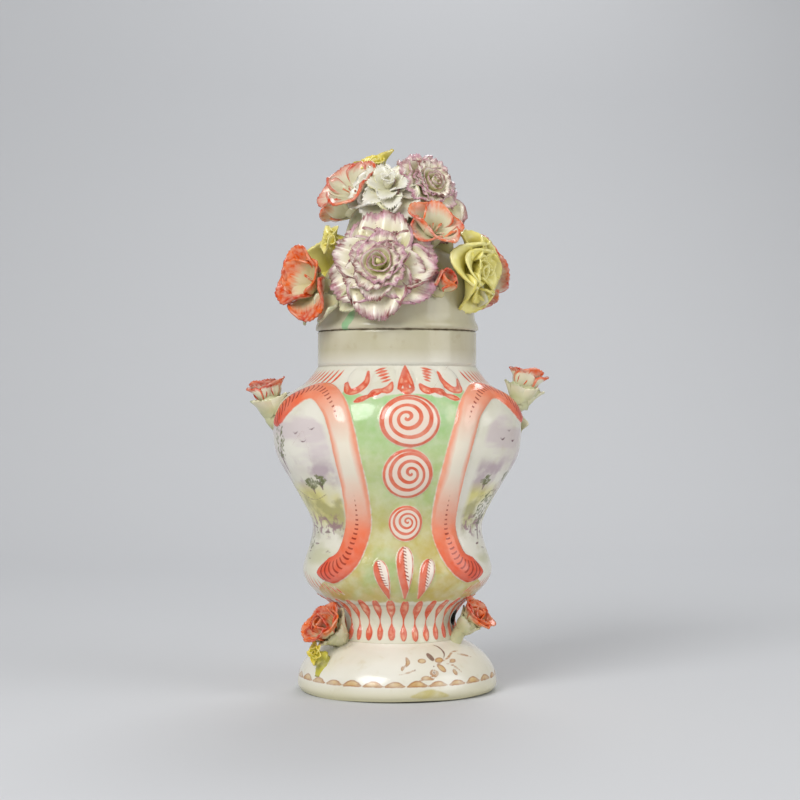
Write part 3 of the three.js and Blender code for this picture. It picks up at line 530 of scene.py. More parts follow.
def body_point(azimuth, along, grow=0.0):
    """A point on the wall at an azimuth and a share of the way up the profile."""
    azimuth, along = np.broadcast_arrays(np.asarray(azimuth, float), np.asarray(along, float))
    side = profile_at(side_controls, along)
    front = profile_at(front_controls, along)
    angle = np.radians(azimuth)
    power = 2 + (panel_squareness - 2) * np.sin(math.pi * along)
    flat = np.abs(np.cos(angle) / front[..., 0]) ** power
    flat = flat + np.abs(np.sin(angle) / side[..., 0]) ** power
    point = outward_at(azimuth) * (flat ** (-1 / power) + grow)[..., None]
    point[..., 2] = side[..., 1]
    return point


fine_shares = np.linspace(0, 1, 800)
fine_profile = profile_at(side_controls, fine_shares)


def on_wall(azimuth, height, grow=0.0):
    """A point on the wall at an azimuth and a height above the ground."""
    return body_point(azimuth, np.interp(height, fine_profile[:, 1], fine_shares), grow)


def half_turned(spots, turn=180):
    """The same spots on the back panel."""
    return [[azimuth + turn, height] for azimuth, height in spots]


body_azimuths = np.arange(body_columns) * 360 / body_columns
way = np.append(0, np.cumsum(np.linalg.norm(np.diff(fine_profile, axis=0), axis=1)))
row_shares = np.interp(np.linspace(0, way[-1], body_rows), way, fine_shares)
azimuth_grid, along_grid = np.meshgrid(body_azimuths, row_shares)
skin = body_point(azimuth_grid, along_grid).reshape(-1, 3)
step = 0.002
rise_way = body_point(azimuth_grid, np.minimum(along_grid + step, 1))
rise_way = rise_way - body_point(azimuth_grid, np.maximum(along_grid - step, 0))
side_way = body_point(azimuth_grid + 0.5, along_grid) - body_point(azimuth_grid - 0.5, along_grid)
skin_normal = np.cross(side_way, rise_way).reshape(-1, 3)
skin_normal /= np.linalg.norm(skin_normal, axis=-1, keepdims=True)
height = skin[:, 2]

# The scroll bands of the front panel; the back has them again.
band_half = 6.4
band_length = 150.0
band_taper = 9
band_steps = 150
band_margin = 14
no_band = [0.0, 20.0, 20.0]
left_band = [
    [-79.5, 131.7], [-73.3, 138.2], [-64, 146], [-55.4, 148.6], [-46, 146.8],
    [-38.6, 141.2], [-34.4, 133], [-31.6, 120], [-30.4, 104], [-31.3, 89],
    [-34.2, 77.5], [-39, 67.6], [-47.8, 62.4], [-61.3, 60],
]
right_band = [
    [76, 133.5], [70.5, 139.5], [63, 145.2], [55, 148.6], [46, 148],
    [38.2, 144.6], [32, 138.6], [28.4, 129], [25.2, 116], [24.5, 101],
    [25.8, 88], [28.8, 76.5], [35.2, 66], [45.9, 61.6], [60.3, 59.6],
]

# Each point's way along the nearest band, its distance across and its distance from the middle.
band = np.tile(no_band, (len(skin), 1))
for spots in (left_band, right_band, half_turned(left_band), half_turned(right_band)):
    path = smooth_line(spots, band_steps)
    line = on_wall(path[:, 0], path[:, 1])
    ways = np.diff(line, axis=0)
    starts = np.append(0, np.cumsum(np.linalg.norm(ways, axis=1)))
    near = ((skin > line.min(0) - band_margin) & (skin < line.max(0) + band_margin)).all(1)
    near = np.flatnonzero(near)
    for k, ahead in enumerate(ways):
        offset = skin[near] - line[k]
        share = np.clip(offset @ ahead / (ahead @ ahead), 0, 1)
        gap = offset - share[:, None] * ahead
        size = np.linalg.norm(gap, axis=1)
        side = np.sign(np.einsum("ij,ij->i", np.cross(skin_normal[near], ahead), gap))
        found = np.stack([starts[k] + share * np.linalg.norm(ahead), side * size, size], 1)
        closer = size < band[near, 2]
        band[near[closer]] = found[closer]
taper = np.clip(np.minimum(band[:, 0], band_length - band[:, 0]) / band_taper, 0, 1)
band[:, 2] -= band_half * np.sqrt(taper)

# Bosses of the green panels: azimuth, height, half width and half height. The measure is the
# millimetres that a boss's radius stands for in its relief and its paint.
bosses = [[0.3, 134.3, 14.4, 12.4], [-0.4, 108.9, 11.9, 12.6], [-0.4, 85.3, 8.1, 8.7]]
boss_measure = 12.0
boss_margin = 24
no_boss = [3.0, 0.0, 3.0]
boss = np.tile(no_boss, (len(skin), 1))
for turn in (0, 180):
    for number, (azimuth, level, half_width, half_height) in enumerate(bosses):
        azimuth += turn
        east = np.cross([0, 0, 1], outward_at(azimuth))
        up = on_wall(azimuth, level + 1) - on_wall(azimuth, level - 1)
        offset = skin - on_wall(azimuth, level)
        x = offset @ east / half_width
        y = offset @ up / np.linalg.norm(up) / half_height
        radius = np.where(np.linalg.norm(offset, axis=1) < boss_margin, np.hypot(x, y), far_away)
        new = np.stack([x if number else -x, y, radius], axis=1)
        boss = np.where((radius < boss[:, 2])[:, None], new, boss)

# Drops that rise from the foot of each green panel: foot, tip and half width.
drops = [
    [[-0.8, 48.5], [-1.2, 74.0], 4.0],
    [[-11.5, 48.5], [-18.4, 67.6], 3.4],
    [[8.6, 48.5], [15.6, 68.0], 3.5],
]
drop_belly = 0.72
drop_margin = 14
no_drop = [0.0, 0.0, far_away]
drop = np.tile(no_drop, (len(skin), 1))
for turn in (0, 180):
    for foot_spot, tip_spot, half in drops:
        foot_end, tip_end = on_wall(*np.transpose(half_turned([foot_spot, tip_spot], turn)))
        up = tip_end - foot_end
        length = np.linalg.norm(up)
        up /= length
        east = np.cross(up, outward_at(foot_spot[0] + turn))
        offset = skin - foot_end
        share = offset @ up / length
        x = offset @ east / np.linalg.norm(east)
        belly = 0.1 + 0.9 * np.sin(np.clip(share / drop_belly, 0, 1) * math.pi / 2) ** 1.2
        past = np.clip(share - drop_belly, 0, 1) / (1 - drop_belly)
        cap = np.sqrt(np.clip(1 - past**2, 0, 1))
        outwards = np.abs(offset @ np.cross(up, east))
        inside = (share > 0) & (share < 1) & (outwards < drop_margin)
        edge = np.where(inside, np.abs(x) - half * belly * cap, far_away)
        new = np.stack([x, share, edge], axis=1)
        drop = np.where((edge < drop[:, 2])[:, None], new, drop)

# Moulded leaves at the root of the neck, and the red strokes on and beside them: the spots
# that each runs through, its half width, and the share of that at its end.
leaf_spots = [
    ([[-0.7, 160.4], [-1.0, 148.6]], 4.4, 0.7),
    ([[-12.0, 159.6], [-17.0, 147.6]], 6.2, 0.6),
    ([[11.6, 159.8], [16.6, 147.8]], 6.2, 0.6),
    ([[-31.0, 158.4], [-31.6, 151.0]], 5.6, 0.6),
    ([[28.0, 158.4], [28.6, 151.0]], 5.6, 0.6),
]
red_spots = [
    ([[-0.7, 160.4], [-2.6, 154.6], [-4.8, 149.4]], 1.4, 0.8),
    ([[-0.7, 160.4], [-0.9, 154.0], [-0.9, 148.6]], 1.5, 0.8),
    ([[-0.7, 160.4], [1.0, 154.6], [3.0, 149.6]], 1.3, 0.8),
    ([[-4.8, 148.8], [-1.0, 147.4], [3.2, 148.8]], 1.5, 0.5),
    ([[-9.2, 151.8], [-10.6, 149.0], [-14.2, 147.6]], 1.9, 0.6),
    ([[-14.0, 148.4], [-17.4, 147.2], [-21.0, 146.8]], 2.1, 0.5),
    ([[-20.0, 146.4], [-24.0, 145.2], [-28.4, 143.4]], 1.7, 0.3),
    ([[7.4, 151.2], [9.6, 148.6], [13.6, 147.4]], 1.9, 0.6),
    ([[13.2, 148.4], [17.0, 147.4], [20.6, 147.0]], 2.1, 0.5),
    ([[19.6, 146.6], [23.4, 145.6], [27.8, 144.4]], 1.7, 0.3),
    ([[-25.4, 157.6], [-25.2, 152.4], [-29.0, 148.6], [-34.0, 148.4], [-38.4, 152.0]], 2.0, 0.6),
    ([[21.8, 157.6], [22.4, 152.6], [26.0, 148.8], [31.0, 148.8], [34.4, 153.0]], 1.9, 0.6),
]

# Short red hatches: azimuth, height, how far each runs across and up, and its half width.
hatches = [[-88 + 4.6 * k, 151.0, 6.5, 7.6, 0.75] for k in range(9)]
hatches += [[84 - 4.6 * k, 151.0, -6.5, 7.6, 0.7] for k in range(9)]
hatches += [[-21.6 + 1.5 * k, 157.6 - 1.5 * k, 8.6 - 0.7 * k, 1.6, 0.7] for k in range(5)]
hatches += [[18.0 - 0.9 * k, 157.8 - 1.5 * k, -8.4 + 1.1 * k, 1.4, 0.7] for k in range(5)]
hatches += [[-80 + 4.4 * k, 61.0 - k, 5.0, -11.0 + k, 0.5] for k in range(8)]
hatches += [[80 - 4.4 * k, 61.0 - k, -5.0, -11.0 + k, 0.5] for k in range(8)]
leaves = []
red_strokes = []
for turn in (0, 180):
    for spots, half, end in leaf_spots:
        leaves.append(stroke(on_wall, half_turned(spots, turn), half, 0.3, end, 0.6))
    for spots, half, end in red_spots:
        red_strokes.append(stroke(on_wall, half_turned(spots, turn), half, 0.25, end, 0.65))
    for azimuth, level, across, up, half in hatches:
        ends = [[azimuth + turn, level], [azimuth + across + turn, level + up]]
        red_strokes.append(stroke(on_wall, ends, half))
leaf_reach = stroke_reach(skin, leaves)
red_reach = stroke_reach(skin, red_strokes)
flutes = flute_reach(azimuth_grid.ravel(), height)
red_reach = np.minimum(red_reach, np.where(height < flute_ends[1] + 1, flutes, far_away))


def domed(edge, half, rise):
    """The rise of a low dome whose edge lies at 0 and whose middle is half a width inside."""
    return rise * np.sqrt(np.clip(1 - (1 - np.clip(-edge / half, 0, 1)) ** 2, 0, 1))


# What stands out from the wall: the distance from its edge, its half width and its rise.
raised = [
    (band[:, 2], band_half, 1.9),
    ((boss[:, 2] - 1) * boss_measure, 9.0, 1.5),
    (drop[:, 2], 3.6, 1.6),
    (leaf_reach, 3.5, 1.2),
    (np.where(height < flute_ends[1], flutes, far_away), 1.4, 0.7),
]
relief = np.max([domed(*form) for form in raised], axis=0)
swell = 0.35 * np.sin(skin[:, 0] / 11 + 1.3) * np.sin(height / 17)
swell += 0.25 * np.sin(skin[:, 1] / 9) * np.sin(height / 8 + skin[:, 0] / 21)
fade = np.clip(np.minimum(height - stem_top, body_levels[-1] - height) / 8, 0, 1)
push = relief * np.minimum(1, 0.25 + fade * 2) + swell * fade
moulded = skin + skin_normal * push[:, None]

# The green ground ends beside the bands, below the leaves and above the flutes.
facing = (azimuth_grid.ravel() + 90) % 180 - 90
green_levels = [45, 52, 58, 66, 77, 90, 104, 120, 133, 141, 146]
green_left = [-72, -66, -52, -34, -27, -24.6, -24, -25, -27.6, -32, -37]
green_right = [72, 64, 50, 31, 23, 19.4, 18.2, 19.4, 23.4, 28, 34]
left_edge = np.interp(height, green_levels, green_left)
right_edge = np.interp(height, green_levels, green_right)
arc = np.hypot(skin[:, 0], skin[:, 1]) * math.pi / 180
green = np.maximum(left_edge - facing, facing - right_edge) * arc
ceiling = np.interp(np.abs(facing), [0, 10, 22, 30, 38], [147, 146.4, 145.4, 148.5, 149])
green = np.maximum(green, (height - ceiling) * 1.3)
green = np.maximum(green, 46.8 + 0.3 * np.sin(np.radians(facing) * 24) - height)

# The landscapes of the sides are plain ones of no real picture: a line of hills with birds
# above it, single trees, bushes and grass. Trees: azimuth, root, spread of the crown and height.
side_facing = np.abs(azimuth_grid.ravel() % 180 - 90)
picture_levels = [60, 66, 74, 90, 104, 120, 132, 139, 143]
picture_halves = [20, 38, 49, 52, 53, 52, 48, 38, 22]
picture = (side_facing - np.interp(height, picture_levels, picture_halves)) * arc
picture_top, picture_foot = 143, 62
picture = np.maximum(picture, (height - picture_top) * 1.2)
picture = np.maximum(picture, picture_foot - height)
random = np.random.default_rng(11)
trees = [
    [-74, 108, 9, 21], [-50, 101, 5, 6], [-57, 99, 6, 6], [-98, 90, 13, 18], [-124, 100, 6, 7],
    [59, 76, 13, 21], [47, 101, 5, 6], [68, 102, 6, 6], [96, 88, 14, 17], [122, 101, 6, 7],
]
dabs = []
trunks = []
for azimuth, root, spread, rise in trees:
    for lean in (-0.25, 0.0, 0.3):
        top = [azimuth + lean * spread, root + rise * (0.9 - abs(lean))]
        bend = [azimuth + lean * 3, root + rise * 0.45]
        trunks.append(stroke(on_wall, [[azimuth, root], bend, top], 0.4, 1.0))
    for _ in range(10 * spread):
        turn = random.uniform(0, 2 * math.pi)
        far = math.sqrt(random.uniform(0.05, 1))
        at = azimuth + math.cos(turn) * far * spread * 0.7
        level = root + rise * (0.72 + math.sin(turn) * far * 0.42)
        tip = [at + random.uniform(-1.5, 1.5), level + random.uniform(0.4, 1.3)]
        dabs.append(stroke(on_wall, [[at, level], tip], random.uniform(0.3, 0.6)))
for side in (-90, 90):
    hills = [[side + at, 98 + 2.2 * math.sin(at * 0.16)] for at in range(-42, 43, 6)]
    trunks.append(stroke(on_wall, hills, 0.35))
    for at, level in ((-38, 125), (-33, 129), (-29, 124), (31, 128), (36, 124), (41, 130)):
        wings = [[side + at - 2, level + 0.9], [side + at, level], [side + at + 2, level + 1]]
        trunks.append(stroke(on_wall, wings, 0.4))
    for _ in range(26):
        at, level = side + random.uniform(-36, 36), random.uniform(66, 84)
        tip = [at + random.uniform(2, 9), level + random.uniform(-0.8, 0.8)]
        trunks.append(stroke(on_wall, [[at, level], tip], random.uniform(0.25, 0.5)))
    for _ in range(30):
        at, level = side + random.uniform(-14, 14), random.uniform(70, 76)
        dabs.append(stroke(on_wall, [[at, level], [at + 0.5, level + 2]], 0.5))
picture_paint = np.stack([picture, stroke_reach(skin, dabs), stroke_reach(skin, trunks)], 1)

# The hollow, from the neck down to the floor.
hollow_levels = [160.5, 152, 140, 128, 115, 100, 86, 72, 62, 54, stem_top + floor_thickness]
cavity = [
    on_wall(body_azimuths, np.full(body_columns, level), -wall) for level in hollow_levels
]
cavity[0] = turned_rings([[neck_radius - wall, body_levels[-1]]], body_azimuths)[0]
rings = np.concatenate([moulded.reshape(body_rows, body_columns, 3), cavity])
points, faces = rings_mesh(rings)
hidden = len(points) - len(skin)
unpainted = [far_away] * 3
painted = {
    "band": (band, no_band),
    "boss": (boss, no_boss),
    "drop": (drop, no_drop),
    "picture": (picture_paint, unpainted),
    "brush": (np.stack([leaf_reach, red_reach, green], 1), unpainted),
}
body_fields = {
    name: np.vstack([values, np.tile(absent, (hidden, 1))])
    for name, (values, absent) in painted.items()
}


def with_landscape(tree, bare, picture, broad, patchy, fine):
    """The glaze with the side panels on it: thin washes in level bands, then inked lines and
    dabs of leaf. All of it thins out at the panel's edge."""
    panel_edge, dab_reach, line_reach = picture
    where = add_node(tree, "ShaderNodeTexCoord").outputs["Object"]
    rise = add_node(tree, "ShaderNodeSeparateXYZ", [where]).outputs["Z"]
    flat_place = add_node(tree, "ShaderNodeVectorMath", [where, (1, 1, 3)], operation="MULTIPLY")
    streaky = add_node(tree, "ShaderNodeTexNoise", [flat_place, 30.0, 3.0])
    # A wash's colour and density, its grain and the span of that in which it shows, and the
    # height of its middle and its half depth in metres.
    washes = [
        ("#c9b5bf", 0.55, streaky, 0.44, 0.6, 0.128, 0.022),
        ("#a98f9f", 0.65, patchy, 0.44, 0.6, 0.106, 0.012),
        ("#dcd47c", 0.85, broad, 0.36, 0.52, 0.093, 0.012),
        ("#8f8a52", 0.6, patchy, 0.5, 0.62, 0.088, 0.014),
        ("#8e6278", 0.7, fine, 0.5, 0.58, 0.083, 0.007),
        ("#b9b98a", 0.5, streaky, 0.5, 0.62, 0.070, 0.008),
    ]
    wash = bare
    for tone, most, grain, low, high, level, spread in washes:
        shape = add_node(tree, "ShaderNodeMapRange", [grain, low, high, 0.0, most])
        off = add_node(tree, "ShaderNodeMath", [rise, level], operation="SUBTRACT")
        off = add_node(tree, "ShaderNodeMath", [off], operation="ABSOLUTE")
        close = add_node(tree, "ShaderNodeMapRange", [off, spread, spread * 0.5])
        amount = add_node(tree, "ShaderNodeMath", [shape, close], operation="MULTIPLY")
        wash = add_node(tree, "ShaderNodeMix", [amount, wash, tone], data_type="RGBA")
    ink = add_node(tree, "ShaderNodeMix", [fine, "#4c4238", "#8a6470"], data_type="RGBA")
    wash = brushed(tree, wash, line_reach, ink, film=0.4)
    leafy = add_node(tree, "ShaderNodeMix", [patchy, "#2f331f", "#8a9155"], data_type="RGBA")
    wash = brushed(tree, wash, dab_reach, leafy, film=0.3)
    shown = add_node(tree, "ShaderNodeMapRange", [panel_edge, 0.6, -2.4])
    return add_node(tree, "ShaderNodeMix", [shown, bare, wash], data_type="RGBA")


def with_ground(tree, colour, green, ornaments, broad, patchy):
    """The green enamel of the panels, laid round the ornaments. It turns to ochre lower down,
    and is pale where it lies thin and darker where it ran thick."""
    clear_edge = 0.12
    where = add_node(tree, "ShaderNodeTexCoord").outputs["Object"]
    rise = add_node(tree, "ShaderNodeSeparateXYZ", [where]).outputs["Z"]
    reserve = add_node(tree, "ShaderNodeMath", [ornaments[0], clear_edge], operation="SUBTRACT")
    for other in ornaments[1:]:
        reserve = add_node(tree, "ShaderNodeMath", [reserve, other], operation="MINIMUM")
    margin = add_node(tree, "ShaderNodeMath", [clear_edge, reserve], operation="SUBTRACT")
    ground = add_node(tree, "ShaderNodeMath", [green, margin], operation="MAXIMUM")
    tilt = add_node(tree, "ShaderNodeMath", [broad, 0.05, rise], operation="MULTIPLY_ADD")
    layers = [
        (tilt, 0.09, 0.125, 0.0, 1.0, "#bdc67f"),
        (tilt, 0.115, 0.165, 0.0, 1.0, "#a2cd8c"),
        (patchy, 0.46, 0.7, 0.0, 0.6, "#d8dcb0"),
        (broad, 0.54, 0.68, 0.0, 0.6, "#8fb872"),
    ]
    paint = tinted(tree, "#c4b05f", layers)
    return brushed(tree, colour, ground, paint, soft=0.5, waver=0.5, film=0.25)


def with_bands(tree, colour, band, patchy):
    """The scroll bands: orange-red, deepest at both ends, and pale between its borders in the
    middle. Dark strokes cross the band like the teeth of a comb."""
    along, across, edge = band
    top_share = add_node(tree, "ShaderNodeMapRange", [along, 70.0, 40.0])
    low_share = add_node(tree, "ShaderNodeMapRange", [along, 84.0, 116.0])
    rough_edge = add_node(tree, "ShaderNodeMath", [patchy, 3.0, edge], operation="MULTIPLY_ADD")
    border = add_node(tree, "ShaderNodeMapRange", [rough_edge, -2.2, 0.4, 0.0, 0.8])
    filled = border
    for share in (top_share, low_share):
        filled = add_node(tree, "ShaderNodeMath", [filled, share], operation="MAXIMUM")
    top_deep = add_node(tree, "ShaderNodeMapRange", [along, 32.0, 4.0])
    low_deep = add_node(tree, "ShaderNodeMapRange", [along, 112.0, 142.0, 0.0, 0.95])
    deep = add_node(tree, "ShaderNodeMath", [top_deep, low_deep], operation="MAXIMUM")
    orange = add_node(tree, "ShaderNodeMix", [patchy, "#ee6a40", "#f6986f"], data_type="RGBA")
    orange = add_node(tree, "ShaderNodeMix", [deep, orange, "#dc4522"], data_type="RGBA")
    orange = add_node(tree, "ShaderNodeMix", [filled, "#ece2cf", orange], data_type="RGBA")
    colour = brushed(tree, colour, edge, orange, soft=0.35, film=0.12)

    # Half lengths of the dark strokes: long at both ends of a band, after dots at the lower.
    comb_half = -0.4
    for start, end, longest in ((64.0, 8.0, 4.3), (114.0, 146.0, 4.6), (88.0, 124.0, 1.3)):
        half = add_node(tree, "ShaderNodeMapRange", [along, start, end, -0.4, longest])
        comb_half = add_node(tree, "ShaderNodeMath", [comb_half, half], operation="MAXIMUM")
    bowed = add_node(tree, "ShaderNodeMath", [across, across], operation="MULTIPLY")
    bowed = add_node(tree, "ShaderNodeMath", [bowed, 0.14, along], operation="MULTIPLY_ADD")
    comb = add_node(tree, "ShaderNodeMath", [bowed, 1.3], operation="PINGPONG")
    comb = add_node(tree, "ShaderNodeMath", [comb, 0.42], operation="SUBTRACT")
    wide = add_node(tree, "ShaderNodeMath", [across], operation="ABSOLUTE")
    beyond = add_node(tree, "ShaderNodeMath", [wide, comb_half], operation="SUBTRACT")
    ends = add_node(tree, "ShaderNodeMath", [along, 75.5], operation="SUBTRACT")
    ends = add_node(tree, "ShaderNodeMath", [ends], operation="ABSOLUTE")
    ends = add_node(tree, "ShaderNodeMath", [ends, 71.5], operation="SUBTRACT")
    for other in (beyond, ends):
        comb = add_node(tree, "ShaderNodeMath", [comb, other], operation="MAXIMUM")
    return brushed(tree, colour, comb, "#8f2c1c", soft=0.2, waver=0.12, film=0.3)


def with_bosses(tree, colour, boss, edge, spiral):
    """The bosses: a ring and a spiral on a pale ground. The spiral's middle is a little off
    the middle of its boss."""
    boss_x, boss_y, radius = boss
    shift = add_node(tree, "ShaderNodeMath", [1.0, radius], operation="SUBTRACT")
    x = add_node(tree, "ShaderNodeMath", [shift, -0.14, boss_x], operation="MULTIPLY_ADD")
    y = add_node(tree, "ShaderNodeMath", [shift, -0.12, boss_y], operation="MULTIPLY_ADD")
    angle = add_node(tree, "ShaderNodeMath", [y, x], operation="ARCTAN2")
    flat = add_node(tree, "ShaderNodeCombineXYZ", [x, y])
    reach = add_node(tree, "ShaderNodeVectorMath", [flat], operation="LENGTH").outputs["Value"]
    turn = 3.4 * math.tau
    turns = add_node(tree, "ShaderNodeMath", [reach, turn, angle], operation="MULTIPLY_ADD")
    stripe = add_node(tree, "ShaderNodeMath", [turns, math.pi], operation="PINGPONG")
    stripe = add_node(tree, "ShaderNodeMath", [stripe, 1.35], operation="SUBTRACT")
    rim = add_node(tree, "ShaderNodeMath", [-1.3, edge], operation="SUBTRACT")
    stripe = add_node(tree, "ShaderNodeMath", [stripe, rim], operation="MINIMUM")
    stripe = add_node(tree, "ShaderNodeMath", [stripe, edge], operation="MAXIMUM")
    colour = brushed(tree, colour, edge, "#efdccb", film=0.15)
    return brushed(tree, colour, stripe, spiral, soft=0.3, waver=0.25, film=0.2)


def with_drops(tree, colour, drop, spiral):
    """The drops: pale, with a red outline and one red side, and dark ticks down the other."""
    across, share, edge = drop
    colour = brushed(tree, colour, edge, "#f3e6d8", soft=0.2, waver=0.1, film=0.05)
    fall = add_node(tree, "ShaderNodeMath", [1.0, share], operation="SUBTRACT")
    fall = add_node(tree, "ShaderNodeMath", [fall, 3.0], operation="POWER")
    from_middle = add_node(tree, "ShaderNodeMath", [across, 0.5], operation="ADD")
    lobe = add_node(tree, "ShaderNodeMath", [fall, -5.0, from_middle], operation="MULTIPLY_ADD")
    outline = add_node(tree, "ShaderNodeMath", [-0.45, edge], operation="SUBTRACT")
    filled = add_node(tree, "ShaderNodeMath", [lobe, outline], operation="MINIMUM")
    filled = add_node(tree, "ShaderNodeMath", [filled, edge], operation="MAXIMUM")
    colour = brushed(tree, colour, filled, spiral, soft=0.35, waver=0.3, film=0.15)
    slant = add_node(tree, "ShaderNodeMath", [across, 0.02, share], operation="MULTIPLY_ADD")
    tick = add_node(tree, "ShaderNodeMath", [slant, 0.03], operation="PINGPONG")
    tick = add_node(tree, "ShaderNodeMath", [tick, 24.0, -0.26], operation="MULTIPLY_ADD")
    past = add_node(tree, "ShaderNodeMath", [lobe, 1.1], operation="SUBTRACT")
    before = add_node(tree, "ShaderNodeMath", [-0.5, lobe], operation="SUBTRACT")
    under = add_node(tree, "ShaderNodeMath", [share, -24.0, 9.0], operation="MULTIPLY_ADD")
    for limit in (past, before, under, edge):
        tick = add_node(tree, "ShaderNodeMath", [tick, limit], operation="MAXIMUM")
    return brushed(tree, colour, tick, "#8c3222", soft=0.2, waver=0.1, film=0.3)


def body_colour(tree):
    """The painted body, from the glaze up: landscape, green ground, then the red ornaments."""
    where = add_node(tree, "ShaderNodeTexCoord").outputs["Object"]
    broad, patchy, fine = (
        add_node(tree, "ShaderNodeTexNoise", [where, scale, 4.0]) for scale in (32.0, 85.0, 260.0)
    )
    parts = {}
    for name in painted:
        found = add_node(tree, "ShaderNodeAttribute", attribute_name=name).outputs["Vector"]
        parts[name] = add_node(tree, "ShaderNodeSeparateXYZ", [found]).outputs
    leaf, red, green_edge = parts["brush"]
    bosses_edge = [parts["boss"][2], boss_measure, -boss_measure]
    bosses_edge = add_node(tree, "ShaderNodeMath", bosses_edge, operation="MULTIPLY_ADD")
    ornaments = (parts["band"][2], bosses_edge, parts["drop"][2], leaf, red)
    bare = glaze_colour(tree, "#e6e3d6", "#cfcdb0", "#cbbfa0")
    colour = with_landscape(tree, bare, parts["picture"], broad, patchy, fine)
    colour = with_ground(tree, colour, green_edge, ornaments, broad, patchy)
    colour = with_bands(tree, colour, parts["band"], patchy)
    spiral = add_node(tree, "ShaderNodeMix", [patchy, "#cf4629", "#ec7f5c"], data_type="RGBA")
    colour = with_bosses(tree, colour, parts["boss"], bosses_edge, spiral)
    colour = with_drops(tree, colour, parts["drop"], spiral)
    return brushed(tree, colour, red, red_brush(tree, red), soft=0.28, waver=0.2, film=0.2)


body_glaze = glazed_material("enamelled_porcelain_body", body_colour, roughness=0.14)
body = make_piece("enamelled_body", points, faces, body_glaze, body_fields)
fix_piece(body, "vase", "enamelled_porcelain", "body")

# Neck: a short plain ring luted to the shoulder, in which the cover seats. Its glaze is ivory,
# with a thin dark line of painted shade at the lip, in the crack where the cover sits on it.

neck_root = body_levels[-1]
neck_top = 178.0
shoulder_run = 8.0
lip_round = 0.7


def ivory_colour(tree):
    """Ivory glaze, whiter where it runs into the shoulder's, with a thin dark brown line of painted
    shade where the cover meets the neck."""
    colour = glaze_colour(tree, "#c9c4ac", "#b0aa82", "#a39271")
    where = add_node(tree, "ShaderNodeTexCoord").outputs["Object"]
    rise = add_node(tree, "ShaderNodeSeparateXYZ", [where]).outputs["Z"]
    worn = add_node(tree, "ShaderNodeTexNoise", [where, 45.0, 4.0])
    # A thin dark brown line at the top of the neck is painted shade for the crack under the cover.
    seam = add_node(tree, "ShaderNodeMath", [rise, neck_top * metre], operation="SUBTRACT")
    seam = add_node(tree, "ShaderNodeMath", [seam], operation="ABSOLUTE")
    seam_shade_noise = add_node(tree, "ShaderNodeTexNoise", [where, 260.0, 3.0])
    drift = add_node(tree, "ShaderNodeMath", [seam_shade_noise, 0.0012, seam], operation="MULTIPLY_ADD")
    layers = [
        (worn, 0.45, 0.7, 0.0, 0.5, "#b9b093"),
        (rise, neck_root * metre, (neck_root + shoulder_run) * metre, 0.8, 0.0, "#e4e2d8"),
        (drift, 0.0006, 0.0013, 0.85, 0.0, "#5d4a36"),
    ]
    return tinted(tree, colour, layers)


ivory_glaze = glazed_material("glazed_porcelain_ivory", ivory_colour)
round_azimuths = np.arange(0, 360, 2.0)
round_turns = np.radians(round_azimuths)
neck_outline = [
    [neck_radius - wall, neck_root],
    [neck_radius, neck_root],
    *[[neck_radius, neck_root + rise] for rise in (2, 5, 8, 11, 14, 16)],
    [neck_radius, neck_top - lip_round],
    [neck_radius - 0.25, neck_top - 0.2],
    [neck_radius - lip_round, neck_top],
    [neck_radius - wall + lip_round, neck_top],
    [neck_radius - wall, neck_top - lip_round],
    [neck_radius - wall, neck_root + 8],
]
rings = turned_rings(neck_outline, round_azimuths)
sway = 0.22 * np.sin(2 * round_turns + 1) + 0.12 * np.sin(5 * round_turns)
middle = np.clip(1 - np.abs(rings[..., 2] - (neck_root + neck_top) / 2) / 8.5, 0, 1)
rings[..., :2] *= (1 + 0.006 * sway * middle)[..., None]
points, faces = rings_mesh(rings, loop=True)
neck = make_piece("glazed_neck", points, faces, ivory_glaze)
fix_piece(neck, "vase", "glazed_porcelain", "neck")

# Cover: a domed shell with an upright collar that sits loose on the lip of the neck. It is
# plain ivory, with a stroke of green that hangs below the front flower like a leaf.

rim_overhang = 1.0
collar_radius = 39.0
collar_top = 192.0
dome_height = 35.0
seat_inside = 31.4
dome_play = 0.2
cover_arc = np.radians(np.append(np.arange(0, 88, 5.5), 88.5))
cover_shape = np.stack([np.cos(cover_arc), np.sin(cover_arc)], 1)
hollow = cover_shape * [collar_radius - wall, dome_height - wall] + [0, collar_top]
crown = cover_shape * [collar_radius - dome_play, dome_height] + [0, collar_top]
cover_outline = [
    *hollow[::-1],
    [collar_radius - wall, neck_top + 7],
    [seat_inside, neck_top + 2.5],
    [seat_inside, neck_top + 0.1],
    [neck_radius - 0.2, neck_top + 0.1],
    [neck_radius + rim_overhang, neck_top + 0.7],
    [neck_radius + rim_overhang, neck_top + 2.2],
    [neck_radius + rim_overhang - 0.4, neck_top + 3.4],
    [collar_radius + 0.2, neck_top + 5.5],
    [collar_radius - 0.1, neck_top + 8],
    [collar_radius - dome_play, neck_top + 11],
    *crown,
]
rings = turned_rings(cover_outline, round_azimuths)
sway = 0.35 * np.sin(3 * round_turns + 0.4) + 0.25 * np.sin(7 * round_turns)
outside = np.arange(len(rings)) > len(hollow) + 4
lift = np.clip((rings[..., 2] - neck_top - 2) / 6, 0, 1) * outside[:, None]
rings[..., :2] *= (1 + 0.012 * sway * lift)[..., None]
points, faces = rings_mesh(rings)


def on_collar(azimuth, height):
    """A point on the collar's outside."""
    return outward_at(azimuth) * collar_radius + np.outer(height, [0, 0, 1])


hanging_leaf = [[-39, 187], [-41.4, 183.6], [-44.6, 180], [-45.6, 177.6]]
leaf_paint = stroke_reach(points, [stroke(on_collar, hanging_leaf, 2.7, 0.35, 0.35, 0.6)])


def cover_colour(tree):
    """The ivory of the neck, with the green stroke."""
    leaf = add_node(tree, "ShaderNodeAttribute", attribute_name="leaf_paint").outputs["Fac"]
    return brushed(tree, ivory_colour(tree), leaf, "#8dbb8c", film=0.3)


